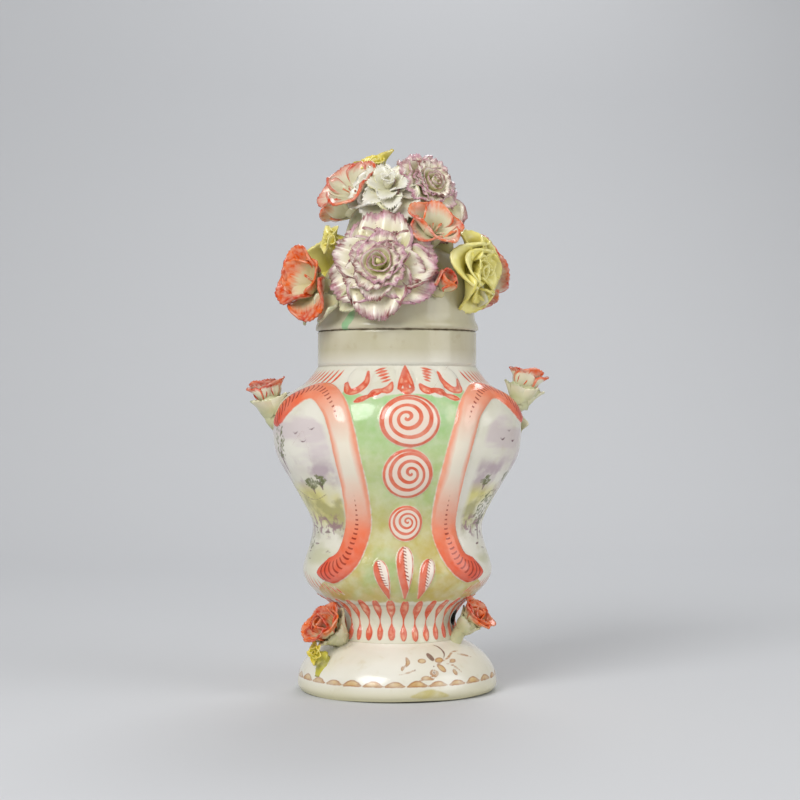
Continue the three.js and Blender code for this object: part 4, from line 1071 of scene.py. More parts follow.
cover_glaze = glazed_material("glazed_porcelain_cover", cover_colour)
cover_dome = make_piece("glazed_cover", points, faces, cover_glaze, {"leaf_paint": leaf_paint})
fix_piece(cover_dome, "cover", "glazed_porcelain", "cover_dome")

# Locating flange: a ring under the cover that drops inside the neck and keeps the cover from
# sliding off. It was turned with the cover and is glazed with it.

flange_play = 0.7
flange_width = 3.0
flange_depth = 10.0
flange_outer = neck_radius - wall - flange_play
flange_inner = flange_outer - flange_width
flange_foot = neck_top - flange_depth
flange_outline = [
    [flange_inner, neck_top],
    [flange_inner, flange_foot + 0.5],
    [flange_inner + 0.5, flange_foot],
    [flange_outer - 1.3, flange_foot],
    [flange_outer - 0.8, flange_foot + 0.5],
    [flange_outer - 0.3, neck_top - 4],
    [flange_outer, neck_top],
]
points, faces = rings_mesh(turned_rings(flange_outline, round_azimuths), loop=True)
flange = make_piece("glazed_locating_ring", points, faces, ivory_glaze)
fix_piece(flange, "cover", "glazed_porcelain", "locating_flange")

# Flower mound: lumps of clay heaped on the cover to carry the upper flowers. Its glaze is
# greenish grey, with darker green and brown patches of painted shade for the deep hollows among the
# flowers.

mound_radius = 26.0
mound_height = 29.0
mound_base = 221.0
mound_sink = 6.0
mound_lumps = 0.035
mound_lobes = 0.09


def mound_point(azimuth, latitude):
    """A point on the mound's five-lobed skin."""
    rise = np.radians(latitude)
    lobes = 1 + mound_lobes * np.cos(np.radians(azimuth) * 5) * np.cos(rise)
    point = outward_at(azimuth) * (mound_radius * np.cos(rise) * lobes)[..., None]
    point[..., 2] = mound_base + mound_height * np.sin(rise)
    return point


mound_latitudes = np.append(np.arange(0, 88, 5), 88.0)
rings = mound_point(*np.meshgrid(np.arange(0, 360, 4.0), mound_latitudes))
lumps = np.sin(rings[..., 0] / 3.1 + 1) * np.sin(rings[..., 1] / 2.7)
lumps = lumps * np.sin(rings[..., 2] / 3.4)
rings *= (1 + mound_lumps * lumps)[..., None] ** np.array([1, 1, 0.2])
skirt = rings[:1].copy()
skirt[..., 2] = mound_base - mound_sink
points, faces = rings_mesh(np.concatenate([skirt, rings]))


def shaded_mound_colour(tree):
    """Thick greenish glaze over rough clay, with darker green and dark brown patches that are
    painted shade for the deep hollows among the flowers.
    """
    return glaze_colour(tree, "#c4c4a4", "#84865e", "#4c4030")


mound_glaze = glazed_material("glazed_porcelain_mound", shaded_mound_colour, roughness=0.2, pits=1.0)
mound = make_piece("glazed_mound", points, faces, mound_glaze)
fix_piece(mound, "cover", "glazed_porcelain", "flower_mound")

# Flowers of the cover: each petal was pinched from soft clay between finger and thumb, its edge
# nicked with a point, and stuck on with slip round a stalk. The fired petals are glazed, and
# most are edged in enamel.


def sheet(grid, thickness):
    """A closed thin shell about a grid of points, whose first row is the root and whose last
    is the rim. Its field is how near the rim each point lies, its place across, and its face:
    1 above and 0 below."""
    rows, columns = grid.shape[:2]
    normal = np.cross(np.gradient(grid, axis=1), np.gradient(grid, axis=0))
    normal /= np.maximum(np.linalg.norm(normal, axis=-1, keepdims=True), 1e-9)
    half = np.asarray(thickness)[..., None] / 2
    points = np.stack([grid + normal * half, grid - normal * half]).reshape(-1, 3)
    count = rows * columns
    here = np.arange(count).reshape(rows, columns)
    quads = [here[:-1, :-1], here[:-1, 1:], here[1:, 1:], here[1:, :-1]]
    upper = np.stack(quads, -1).reshape(-1, 4)
    around = [here[0], here[1:, -1], here[-1, -2::-1], here[-2:0:-1, 0]]
    border = np.concatenate(around)
    ahead = np.roll(border, -1)
    edge = np.stack([ahead, border, border + count, ahead + count], -1)
    faces = np.concatenate([upper, upper[:, ::-1] + count, edge]).tolist()
    v, u = np.meshgrid(np.linspace(0, 1, rows), np.linspace(-1, 1, columns), indexing="ij")
    near = np.maximum(v, (np.abs(u) - 0.8) / 0.2 * np.clip(v * 2.5, 0, 1))
    place = np.stack([near, u, np.ones_like(u)], -1).reshape(-1, 3)
    return points, faces, np.concatenate([place, place * [1, 1, 0]])


def petal(width, bow, cup, seed, teeth=0, tooth=0.1, ruffle=0.03, waves=1.6, rounded=0.35,
          point=0.0, root=0.22, broad=0.62, fold=0.0, thick=0.06, rows=13):
    """A petal one unit long that grows up the Z axis from the origin and faces -X. It widens
    from its root, its blade bows outwards and its sides cup inwards, and its rim is ruffled
    and nicked. A fold turns its rim back."""
    chance = np.random.default_rng(seed)
    columns = 2 * teeth + 1 if teeth else 19
    v, u = np.meshgrid(np.linspace(0, 1, rows), np.linspace(-1, 1, columns), indexing="ij")
    opening = root + (1 - root) * np.sin(np.clip(v / broad, 0, 1) * math.pi / 2) ** 1.2
    widen = np.where(v < broad, opening, 1 - 0.12 * ((v - broad) / (1 - broad)) ** 2)
    nick = np.zeros(columns)
    nick[1::2] = tooth * chance.uniform(0.5, 1.3, columns // 2)
    outline = 1 - rounded * np.abs(u) ** 2.4 - point * np.abs(u)
    length = v * outline * (1 - nick[None, :] * v**3)
    bow = math.radians(bow)
    angle = bow * length
    lift = -cup * u**2 * widen * width * 0.5 * np.clip(v * 1.5, 0, 1)
    lift += ruffle * np.sin(u * math.pi * waves + chance.uniform(0, 6) + v) * v**2.2
    lift += fold * np.clip((v - 0.6) / 0.4, 0, 1) ** 2
    out = (1 - np.cos(angle)) / bow + np.cos(angle) * lift
    up = np.sin(angle) / bow - np.sin(angle) * lift
    side = u * widen * width / 2 * (1 - 0.25 * cup * u**2)
    return sheet(np.stack([out, side, up], -1), thick * (1.2 - 0.3 * v))


def coil(turns, first, last, flare, teeth, tooth, thick, seed=3):
    """A strip rolled up into the heart of a flower, one unit high, with a nicked rim."""
    chance = np.random.default_rng(seed)
    rows, columns = 7, 2 * teeth + 1
    v, share = np.meshgrid(np.linspace(0, 1, rows), np.linspace(0, 1, columns), indexing="ij")
    theta = share * turns * math.tau
    nick = np.zeros(columns)
    nick[1::2] = tooth * chance.uniform(0.4, 1.3, columns // 2)
    level = (1 - 0.3 * share) * v * (1 - nick * v**2)
    radius = first + (last - first) * share + flare * v**2 * (0.25 + share)
    radius += 0.05 * np.sin(theta * 3.3 + 1) * v**2
    grid = np.stack([radius * np.cos(theta), radius * np.sin(theta), level], -1)
    return sheet(grid, np.full(v.shape, thick))


petal_shapes = {
    "frill": petal(1.0, 24, 0.25, teeth=15, tooth=0.06, ruffle=0.06, waves=3.1, thick=0.05, seed=1),
    "wide_frill": petal(1.2, 20, 0.3, teeth=18, tooth=0.055, ruffle=0.07, waves=3.6, thick=0.05,
                        seed=5),
    "fan": petal(0.85, 34, 0.3, teeth=9, tooth=0.1, ruffle=0.05, waves=1.5, thick=0.055, seed=9),
    "fold": petal(0.6, 24, 1.1, teeth=6, tooth=0.08, ruffle=0.04, seed=13),
    "rose": petal(1.25, 34, 0.7, teeth=10, tooth=0.025, ruffle=0.04, waves=1.2, fold=0.1, seed=17),
    "long_rose": petal(0.9, 30, 0.8, teeth=8, tooth=0.04, ruffle=0.05, fold=0.12, seed=19),
    "cup": petal(1.2, 14, 0.6, teeth=9, tooth=0.03, ruffle=0.05, waves=1.4, broad=0.58, seed=21),
    "closed_cup": petal(1.2, -24, 0.8, teeth=8, tooth=0.04, ruffle=0.03, broad=0.58, seed=29),
    "saucer": petal(1.25, 18, 0.5, ruffle=0.03, waves=1.1, rounded=0.42, thick=0.07, seed=23),
    "point": petal(0.95, 16, 0.8, rounded=0.15, point=0.38, broad=0.5, root=0.35, thick=0.08,
                   seed=25),
    "stamen": petal(0.16, 30, 0.1, root=0.8, rounded=0.2, rows=6, seed=27),
    "coil": coil(2.7, 0.06, 0.66, 0.22, 34, 0.07, thick=0.055),
    "soft_coil": coil(2.1, 0.08, 0.52, 0.16, 18, 0.04, thick=0.07, seed=5),
}
petal_pieces = {}
for name, (points, faces, place) in petal_shapes.items():
    points = points / metre
    petal_pieces[name] = make_piece(f"{name}_petal", points, faces, None, {"petal": place})

whorl_inputs = {
    "Petal": ("NodeSocketObject", None),
    "Petals": ("NodeSocketInt", 5),
    "Step": ("NodeSocketFloat", 1.2566),
    "Turn": ("NodeSocketFloat", 0.0),
    "First Lean": ("NodeSocketFloat", 1.2),
    "Last Lean": ("NodeSocketFloat", 1.2),
    "Size": ("NodeSocketFloat", 0.02),
    "Stretch": ("NodeSocketFloat", 0.0),
    "Stretch Way": ("NodeSocketFloat", 0.0),
    "Root Radius": ("NodeSocketFloat", 0.001),
    "Lift": ("NodeSocketFloat", 0.0),
    "Chance": ("NodeSocketFloat", 0.15),
    "Unevenness": ("NodeSocketFloat", 0.001),
    "Seed": ("NodeSocketInt", 1),
    "Material": ("NodeSocketMaterial", None),
}
whorl_tree = bpy.data.node_groups.new("petals_round_a_stalk", "GeometryNodeTree")
interface = whorl_tree.interface
interface.new_socket("Geometry", in_out="INPUT", socket_type="NodeSocketGeometry")
for name, (kind, default) in whorl_inputs.items():
    made = interface.new_socket(name, in_out="INPUT", socket_type=kind)
    if default is not None:
        made.default_value = default
interface.new_socket("Geometry", in_out="OUTPUT", socket_type="NodeSocketGeometry")
whorl_sockets = {
    item.name: item.identifier
    for item in interface.items_tree
    if item.item_type == "SOCKET" and item.in_out == "INPUT"
}


def fill_whorl_tree(tree):
    """Petals set round a stalk one after another, each with its own lean, size and turn."""
    given = add_node(tree, "NodeGroupInput").outputs
    index = add_node(tree, "GeometryNodeInputIndex")
    chances = []
    for offset in (3, 5, 7, 9, 11):
        seed = add_node(tree, "ShaderNodeMath", [given["Seed"], float(offset)], operation="ADD")
        throw = add_node(
            tree, "FunctionNodeRandomValue", [-1.0, 1.0, index, seed], data_type="FLOAT"
        )
        chances.append(throw)
    lean_chance, size_chance, turn_chance, roll_chance, tone = chances
    amount = given["Chance"]
    last = add_node(tree, "ShaderNodeMath", [given["Petals"], 1.0], operation="SUBTRACT")
    last = add_node(tree, "ShaderNodeMath", [last, 1.0], operation="MAXIMUM")
    share = add_node(tree, "ShaderNodeMath", [index, last], operation="DIVIDE")
    turn = add_node(
        tree, "ShaderNodeMath", [index, given["Step"], given["Turn"]], operation="MULTIPLY_ADD"
    )
    turn = add_node(tree, "ShaderNodeMath", [turn_chance, amount, turn], operation="MULTIPLY_ADD")
    lean = add_node(
        tree, "ShaderNodeMapRange", [share, 0.0, 1.0, given["First Lean"], given["Last Lean"]]
    )
    waver = add_node(tree, "ShaderNodeMath", [amount, 0.8], operation="MULTIPLY")
    lean = add_node(tree, "ShaderNodeMath", [lean_chance, waver, lean], operation="MULTIPLY_ADD")
    half = add_node(tree, "ShaderNodeMath", [amount, 0.5], operation="MULTIPLY")
    roll = add_node(tree, "ShaderNodeMath", [roll_chance, half], operation="MULTIPLY")
    off_way = add_node(tree, "ShaderNodeMath", [turn, given["Stretch Way"]], operation="SUBTRACT")
    off_way = add_node(tree, "ShaderNodeMath", [off_way], operation="COSINE")
    longer = add_node(
        tree, "ShaderNodeMath", [off_way, given["Stretch"], 1.0], operation="MULTIPLY_ADD"
    )
    vary = add_node(tree, "ShaderNodeMath", [size_chance, half, 1.0], operation="MULTIPLY_ADD")
    size = add_node(tree, "ShaderNodeMath", [given["Size"], longer], operation="MULTIPLY")
    size = add_node(tree, "ShaderNodeMath", [size, vary], operation="MULTIPLY")
    x = add_node(tree, "ShaderNodeMath", [turn], operation="COSINE")
    y = add_node(tree, "ShaderNodeMath", [turn], operation="SINE")
    x = add_node(tree, "ShaderNodeMath", [x, given["Root Radius"]], operation="MULTIPLY")
    y = add_node(tree, "ShaderNodeMath", [y, given["Root Radius"]], operation="MULTIPLY")
    root = add_node(tree, "ShaderNodeCombineXYZ", [x, y, given["Lift"]])
    facing = add_node(tree, "ShaderNodeCombineXYZ", [roll, lean, turn])
    row = {"Count": given["Petals"], "Offset": (0.0, 0.0, 0.0)}
    line = add_node(tree, "GeometryNodeMeshLine", row)
    placed = {"Geometry": line, "Position": root}
    placed = add_node(tree, "GeometryNodeSetPosition", placed)
    shape = add_node(tree, "GeometryNodeObjectInfo", {"Object": given["Petal"]})
    copies = {
        "Points": placed,
        "Instance": shape.outputs["Geometry"],
        "Rotation": facing,
        "Scale": size,
    }
    copies = add_node(tree, "GeometryNodeInstanceOnPoints", copies)
    toned = add_node(
        tree,
        "GeometryNodeStoreNamedAttribute",
        [copies, None, "petal_tone", tone],
        data_type="FLOAT",
        domain="INSTANCE",
    )
    real = add_node(tree, "GeometryNodeRealizeInstances", {"Geometry": toned})
    where = add_node(tree, "GeometryNodeInputPosition")
    hand = {"Vector": where, "W": given["Seed"], "Scale": 110.0, "Detail": 1.0}
    hand = add_node(tree, "ShaderNodeTexNoise", hand, noise_dimensions="4D").outputs["Color"]
    push = add_node(tree, "ShaderNodeVectorMath", [hand, (0.5, 0.5, 0.5)], operation="SUBTRACT")
    push = add_node(tree, "ShaderNodeVectorMath", [push, given["Unevenness"]], operation="SCALE")
    uneven = add_node(tree, "GeometryNodeSetPosition", {"Geometry": real, "Offset": push})
    glazed = {"Geometry": uneven, "Material": given["Material"]}
    glazed = add_node(tree, "GeometryNodeSetMaterial", glazed)
    joined = add_node(tree, "GeometryNodeJoinGeometry", [glazed])
    tree.links.new(given["Geometry"], joined.inputs[0])
    add_node(tree, "NodeGroupOutput", [joined])


fill_whorl_tree(whorl_tree)


def petal_glaze(name, white, deep, dark, light, start, soft=0.12, flecks=0.0):
    """Glazed clay edged in enamel: the colours of its face, of the hollow at its root, where pooled
    glaze and painted shade darken it, and of the darkest and palest edging, and where on the way
    to the rim the edging starts."""

    def colour_of(tree):
        """Thick glaze pools at the root, which is darkened there as painted shade too, and the
        enamel is dabbed along the rim.
        """
        where = add_node(tree, "ShaderNodeTexCoord").outputs["Object"]
        broad = add_node(tree, "ShaderNodeTexNoise", [where, 90.0, 3.0])
        middling = add_node(tree, "ShaderNodeTexNoise", [where, 170.0, 4.0])
        fine = add_node(tree, "ShaderNodeTexNoise", [where, 400.0, 3.0])
        place = add_node(tree, "ShaderNodeAttribute", attribute_name="petal").outputs["Vector"]
        rim, across, face = add_node(tree, "ShaderNodeSeparateXYZ", [place]).outputs
        tone = add_node(tree, "ShaderNodeAttribute", attribute_name="petal_tone").outputs["Fac"]
        # Towards the root the petal takes its deep colour: pooled glaze and painted shade of the
        # hollow.
        pooled_and_shaded = add_node(tree, "ShaderNodeMapRange", [rim, 0.9, 0.35])
        cloud = add_node(tree, "ShaderNodeMapRange", [broad, 0.2, 0.6, 0.5, 1.0])
        pooled_and_shaded = add_node(tree, "ShaderNodeMath", [pooled_and_shaded, cloud], operation="MULTIPLY")
        colour = add_node(tree, "ShaderNodeMix", [pooled_and_shaded, white, deep], data_type="RGBA")
        colour = tinted(tree, colour, [(middling, 0.56, 0.72, 0.0, 0.5, "#d9cf9a")])
        streak = add_node(tree, "ShaderNodeCombineXYZ", [across, tone, rim])
        streak = add_node(tree, "ShaderNodeVectorMath", [streak, (8, 7, 1)], operation="MULTIPLY")
        streak = add_node(tree, "ShaderNodeTexNoise", [streak, 1.6, 3.0])
        edge = rim
        for grain, centre, reach in ((streak, 0.5, 0.34), (middling, 0.5, 0.3), (tone, 0, 0.05)):
            drift = add_node(tree, "ShaderNodeMath", [grain, centre], operation="SUBTRACT")
            edge = add_node(tree, "ShaderNodeMath", [drift, reach, edge], operation="MULTIPLY_ADD")
        amount = add_node(tree, "ShaderNodeMapRange", [edge, start, start + soft])
        on_petal = add_node(tree, "ShaderNodeMapRange", [face, -0.6, -0.4])
        film = add_node(tree, "ShaderNodeMapRange", [fine, 0.3, 0.62, 0.6, 1.0])
        for limit in (on_petal, film):
            amount = add_node(tree, "ShaderNodeMath", [amount, limit], operation="MULTIPLY")
        patch = add_node(tree, "ShaderNodeMath", [tone, 0.12, broad], operation="MULTIPLY_ADD")
        paint = tinted(tree, dark, [(patch, 0.38, 0.6, 0.0, 1.0, light)])
        colour = add_node(tree, "ShaderNodeMix", [amount, colour, paint], data_type="RGBA")
        spot = add_node(tree, "ShaderNodeMapRange", [fine, 0.62, 0.68, 0.0, flecks])
        spot = add_node(tree, "ShaderNodeMath", [spot, on_petal], operation="MULTIPLY")
        return add_node(tree, "ShaderNodeMix", [spot, colour, dark], data_type="RGBA")

    return glazed_material(name, colour_of, roughness=0.18, pits=0.8)


purple_edged = petal_glaze(
    "purple_edged_porcelain", "#f4ebdd", "#d6d492", "#8d4f4c", "#cb98a8", 0.82,
    soft=0.14, flecks=0.4,
)
white_glazed = petal_glaze(
    "white_glazed_petals", "#efece0", "#d2d0ac", "#cbc888", "#e2dfb8", 0.95
)
red_edged = petal_glaze(
    "red_edged_porcelain", "#efe7d2", "#d0cea8", "#d43a08", "#ef7a3e", 0.58, soft=0.4
)
red_tipped = petal_glaze(
    "red_tipped_porcelain", "#ece3cd", "#cfceac", "#c52c00", "#e8622a", 0.74, soft=0.12
)
scarlet_edged = petal_glaze(
    "scarlet_edged_porcelain", "#ecddc2", "#cdc796", "#cb3400", "#ec6a20", 0.45, soft=0.3
)
yellow_glazed = petal_glaze(
    "yellow_glazed_petals", "#f3eb98", "#d4ca5c", "#e2d454", "#f5eea2", 0.8, soft=0.3
)
bright_yellow = petal_glaze(
    "bright_yellow_glazed_petals", "#ecdb56", "#bdb84a", "#e2c72c", "#f4eda0", 0.7, soft=0.3
)
leaf_green = petal_glaze(
    "pale_green_glazed_leaves", "#e8e2c8", "#c6c69a", "#a9bd86", "#d6d6aa", 0.8, soft=0.3
)
finish_slots = {
    purple_edged: "purple_edged_glaze",
    white_glazed: "white_glaze",
    red_edged: "red_edged_glaze",
    red_tipped: "red_edged_glaze",
    scarlet_edged: "red_edged_glaze",
    yellow_glazed: "yellow_glaze",
    bright_yellow: "yellow_glaze",
    leaf_green: "leaf_glaze",
}


def stalk(path, radii, seed, lip=0.0):
    """A stalk or calyx of clay along a path. A lip makes its far end hollow and notched."""
    steps, sides = 12, 20
    chance = np.random.default_rng(seed)
    line = smooth_line(path, steps)
    reach = np.interp(np.linspace(0, 1, steps), np.linspace(0, 1, len(radii)), radii)
    along = np.gradient(line, axis=0)
    along /= np.linalg.norm(along, axis=1, keepdims=True)
    side = np.cross(along, [0.31, 0.2, 0.93])
    side /= np.linalg.norm(side, axis=1, keepdims=True)
    over = np.cross(along, side)
    angle = np.linspace(0, math.tau, sides, endpoint=False)
    wave = 0.07 * np.sin(3 * angle + chance.uniform(0, 6)) + 0.04 * np.sin(7 * angle)
    rings = []
    for k in range(steps):
        ring = side[k] * np.cos(angle)[:, None] + over[k] * np.sin(angle)[:, None]
        rings.append(line[k] + ring * reach[k] * (1 + wave * k / 6)[:, None])
    if lip:
        notch = 0.5 + 0.5 * np.sin(angle * 5 + chance.uniform(0, 6))
        rings[-1] = rings[-1] + along[-1] * (lip * notch)[:, None]
        inner = line[-1] + (rings[-1] - line[-1]) * 0.86
        rings.append(inner)
        rings.append(line[-2] + (inner - line[-1]) * 0.55)
    return rings_mesh(np.array(rings))


def direction_at(azimuth, elevation):
    """The direction at an azimuth and an angle above the level."""
    level = math.radians(elevation)
    return outward_at(azimuth) * math.cos(level) + [0, 0, math.sin(level)]


def turned_to(toward, spin=0.0):
    """The turn that brings the Z axis to a direction, after a spin about it."""
    turn = Vector((0, 0, 1)).rotation_difference(Vector(toward)).to_matrix()
    return turn @ Matrix.Rotation(math.radians(spin), 3, "Z")


petal_unevenness = 1.3


def whorl(kind, petals, lean, size, root, lift=0.0, turn=0.0, chance=0.16, step=0.0,
          stretch=0.0, way=0.0):
    """Settings for a whorl: lengths in millimetres and angles in degrees."""
    first_lean, last_lean = lean if isinstance(lean, tuple) else (lean, lean)
    return {
        "Petal": petal_pieces[kind],
        "Petals": petals,
        "Step": math.radians(step) or math.tau / petals,
        "Turn": math.radians(turn),
        "First Lean": math.radians(first_lean),
        "Last Lean": math.radians(last_lean),
        "Size": size * metre,
        "Stretch": stretch,
        "Stretch Way": math.radians(way),
        "Root Radius": root * metre,
        "Lift": lift * metre,
        "Chance": chance,
        "Unevenness": petal_unevenness * metre,
    }


def bloom(node, body_name, glaze, centre, turn, whorls, base, seed):
    """Makes the flower piece that stands for a solid: its base in the flower's own frame, then
    each whorl of petals, and sets it at its place."""
    name = f"{node}_glazed"
    points, faces = base
    plain = {"petal": [[0.0, 0.0, -1.0]] * len(points), "petal_tone": [0.0] * len(points)}
    piece = make_piece(name, points, faces, glaze, plain)
    for number, settings in enumerate(whorls):
        added = piece.modifiers.new(f"whorl_{number}", "NODES")
        added.node_group = whorl_tree
        for key, value in {**settings, "Material": glaze, "Seed": seed * 17 + number * 5}.items():
            added[whorl_sockets[key]] = value
    shaped = piece.evaluated_get(bpy.context.evaluated_depsgraph_get())
    mesh = bpy.data.meshes.new_from_object(shaped)
    mesh.transform(Matrix.Translation(Vector(centre) * metre) @ turn.to_4x4())
    piece.modifiers.clear()
    piece.data = mesh
    mesh.name = name
    fix_piece(piece, body_name, finish_slots[glaze], node)


def carnation(size):
    """Three whorls of frilled petals round a ring of small ones and a rolled heart."""
    petals = [
        whorl("wide_frill", 6, 82, size * 0.95, 1.5, turn=10, chance=0.24, stretch=0.06, way=-40),
        whorl("frill", 7, 70, size * 0.76, 1.5, size * 0.04, turn=35, chance=0.22),
        whorl("wide_frill", 5, 50, size * 0.56, 1.5, size * 0.08, turn=5),
    ]
    heart = [
        whorl("wide_frill", 5, 38, size * 0.48, 1.2, size * 0.1, turn=50),
        whorl("coil", 1, 0, size * 0.34, 0.0, size * 0.14, chance=0.02),
    ]
    return petals, heart


def drooping_carnation(size):
    """A carnation whose outer petals hang down to one side."""
    petals, heart = carnation(size)
    droop = whorl(
        "wide_frill", 6, 100, size * 0.95, 1.5, turn=10, chance=0.4, stretch=0.22, way=-60
    )
    return [droop, *petals[1:]], heart


def small_carnation(size):
    """Fringed petals round a folded centre, over three smooth saucer petals."""
    petals = [
        whorl("saucer", 3, 92, size * 1.32, 1.0, -size * 0.04, turn=185, step=50),
        whorl("fan", 7, 66, size * 1.0, 1.0, size * 0.04, turn=8),
        whorl("fan", 5, 44, size * 0.8, 1.0, size * 0.08, turn=30),
        whorl("fold", 4, 14, size * 0.62, 0.8, size * 0.1, turn=30),
    ]
    return petals, None


def rose(size):
    """Broad petals folded over each other, the outer ones bent back, round a rolled heart."""
    petals = [
        whorl("rose", 5, 66, size * 1.02, 1.2, turn=12),
        whorl("rose", 4, 44, size * 0.9, 1.2, size * 0.05, turn=40),
    ]
    heart = [
        whorl("long_rose", 4, 26, size * 0.7, 1.0, size * 0.1, turn=10),
        whorl("soft_coil", 1, 0, size * 0.5, 0.0, size * 0.14, chance=0.02),
    ]
    return petals, heart


def anemone(size):
    """Broad open petals, cupped at their sides, round a tuft of stamens."""
    petals = [
        whorl("cup", 5, 52, size * 1.0, 1.4, turn=18, chance=0.35),
        whorl("stamen", 7, (12, 30), size * 0.34, 1.0, size * 0.05, chance=0.5, step=137.5),
    ]
    return petals, None


def narcissus(size):
    """Broad pointed petals, half open, round a short cup."""
    petals = [
        whorl("point", 5, 48, size * 0.92, 1.0, chance=0.3),
        whorl("closed_cup", 3, 16, size * 0.45, 0.6, size * 0.05, turn=30),
    ]
    return petals, None


def bud(size):
    """Petals still closed over each other."""
    return [whorl("closed_cup", 3, 24, size * 1.3, 1.0, chance=0.25)], None


def leaf(size):
    """A single pointed leaf, bent back from where it is stuck on."""
    return [whorl("point", 1, 74, size, 0.0, chance=0.05)], None


def on_dome(azimuth, latitude):
    """A seat on the cover's dome, and the way out from it."""
    rise = math.radians(latitude)
    seat = outward_at(azimuth) * collar_radius * math.cos(rise)
    return seat + [0, 0, collar_top + dome_height * math.sin(rise)], direction_at(azimuth, latitude)


def on_mound(azimuth, latitude):
    """A seat on the mound, and the way out from it."""
    return mound_point(*np.array([azimuth, latitude], float)), direction_at(azimuth, latitude)


cover_flowers = [
    ("front_carnation", carnation, 27, on_dome(-17, 23), 5, (-14, 14), purple_edged, 0),
    ("yellow_rose", rose, 20, on_dome(57, 25), 3, (54, -4), yellow_glazed, 0),
    ("left_anemone", anemone, 20, on_dome(-73, 13), 5, (-52, 10), scarlet_edged, 20),
    ("white_carnation", small_carnation, 16, on_mound(-16, 48), 5, (-14, 40), white_glazed, 0),
    ("top_carnation", drooping_carnation, 23, on_mound(40, 52), 6, (34, 24), purple_edged, 0),
    ("upper_left_anemone", anemone, 18, on_mound(-70, 46), 4, (-44, 44), red_edged, 0),
    ("right_anemone", anemone, 15, on_dome(24, 46), 10, (22, 40), red_edged, 0),
    ("top_narcissus", narcissus, 14, on_mound(-100, 74), 10, (-60, 68), bright_yellow, 0),
    ("small_yellow_flower", narcissus, 10, on_dome(-80, 47), 8, (-66, 20), yellow_glazed, 0),
    ("red_bud", bud, 9, on_dome(23, 9), 4, (24, 24), scarlet_edged, 0),
    ("back_carnation", carnation, 26, on_dome(170, 22), 4, (170, 12), purple_edged, 0),
    ("back_yellow_rose", rose, 20, on_dome(-128, 20), 4, (-130, 8), yellow_glazed, 0),
    ("back_anemone", anemone, 20, on_dome(112, 20), 6, (112, 14), red_edged, 0),
    ("back_white_carnation", small_carnation, 18, on_mound(164, 34), 5, (164, 34), white_glazed, 0),
    ("upper_back_anemone", anemone, 18, on_mound(-136, 34), 5, (-136, 34), red_edged, 0),
    ("back_narcissus", narcissus, 16, on_mound(118, 30), 4, (120, 30), bright_yellow, 0),
    ("front_bract", leaf, 13, on_dome(-32, 3), 3, (-32, -10), leaf_green, 180),
    ("left_leaf", leaf, 16, on_dome(-50, 2), 3, (-50, 10), leaf_green, 180),
    ("right_leaf", leaf, 16, on_dome(66, -2), 3, (66, 0), leaf_green, 180),
    ("far_right_leaf", leaf, 16, on_dome(86, 8), 3, (86, 10), leaf_green, 160),
    ("back_right_leaf", leaf, 16, on_dome(144, 5), 3, (144, 10), leaf_green, 190),
    ("back_left_leaf", leaf, 16, on_dome(-156, 5), 3, (-156, 10), leaf_green, 170),
    ("far_left_leaf", leaf, 16, on_dome(-100, 6), 3, (-100, 10), leaf_green, 180),
]
stalk_root = 3.0
leaf_stalk = [2.4, 1.5, 1.2]
flower_stalk = [7.5, 4.6, 3.6, 4.6]
knob_radii = [2.4, 2.0, 1.2]


def place_flower(body_name, entry, seed):
    """Builds a flower from its line in the list. A full flower's heart is its own piece."""
    name, kind, size, (seat, outward), stand_off, facing, glaze, spin = entry
    centre = seat + outward * stand_off
    turn = turned_to(direction_at(*facing), spin)
    root = np.array(turn.inverted() @ Vector(seat - outward * stalk_root - centre))
    petals, heart = kind(size)
    slim = kind is leaf
    radii = leaf_stalk if slim else [*flower_stalk, size * 0.3]
    crown = [0, 0, 0.4 if slim else size * 0.1]
    path = [root, root * 0.45 + [0, 0, -0.5], crown]
    base = stalk(path, radii, seed, lip=0 if slim else 1.5)
    node = f"{name}_petals" if heart else name
    bloom(node, body_name, glaze, centre, turn, petals, base, seed)
    if heart:
        knob_way = [[0, 0, size * 0.04], [0, 0, size * 0.16], [0, 0, size * 0.4]]
        knob = stalk(knob_way, knob_radii, seed)
        bloom(f"{name}_heart", body_name, glaze, centre, turn, heart, knob, seed + 40)


for number, entry in enumerate(cover_flowers):
    place_flower("cover", entry, number + 1)

# Flowers of the vase: a red-edged head stands in a pale green calyx on each shoulder and on
# each side of the stem. A leaf and a small yellow flower are stuck beside them.

slope_reach = 1.155
foot_slope = 50
calyx_root = 1.5


def on_body(azimuth, share):
    """A seat on the body at a share of its height, and the way out from it."""
    level = stem_top + share * (body_levels[-1] - stem_top)
    up = on_wall(azimuth, level + slope_reach) - on_wall(azimuth, level - slope_reach)
    outward = np.cross(on_wall(azimuth + 1, level) - on_wall(azimuth - 1, level), up)
    return on_wall(azimuth, level), outward / np.linalg.norm(outward)


def seat_on_foot(azimuth, share):
    """A seat on the foot's dome, and the way out from it."""
    radius, level = foot_outline[int(share * (len(foot_outline) - 1))]
    return outward_at(azimuth) * radius + [0, 0, level], direction_at(azimuth, foot_slope)


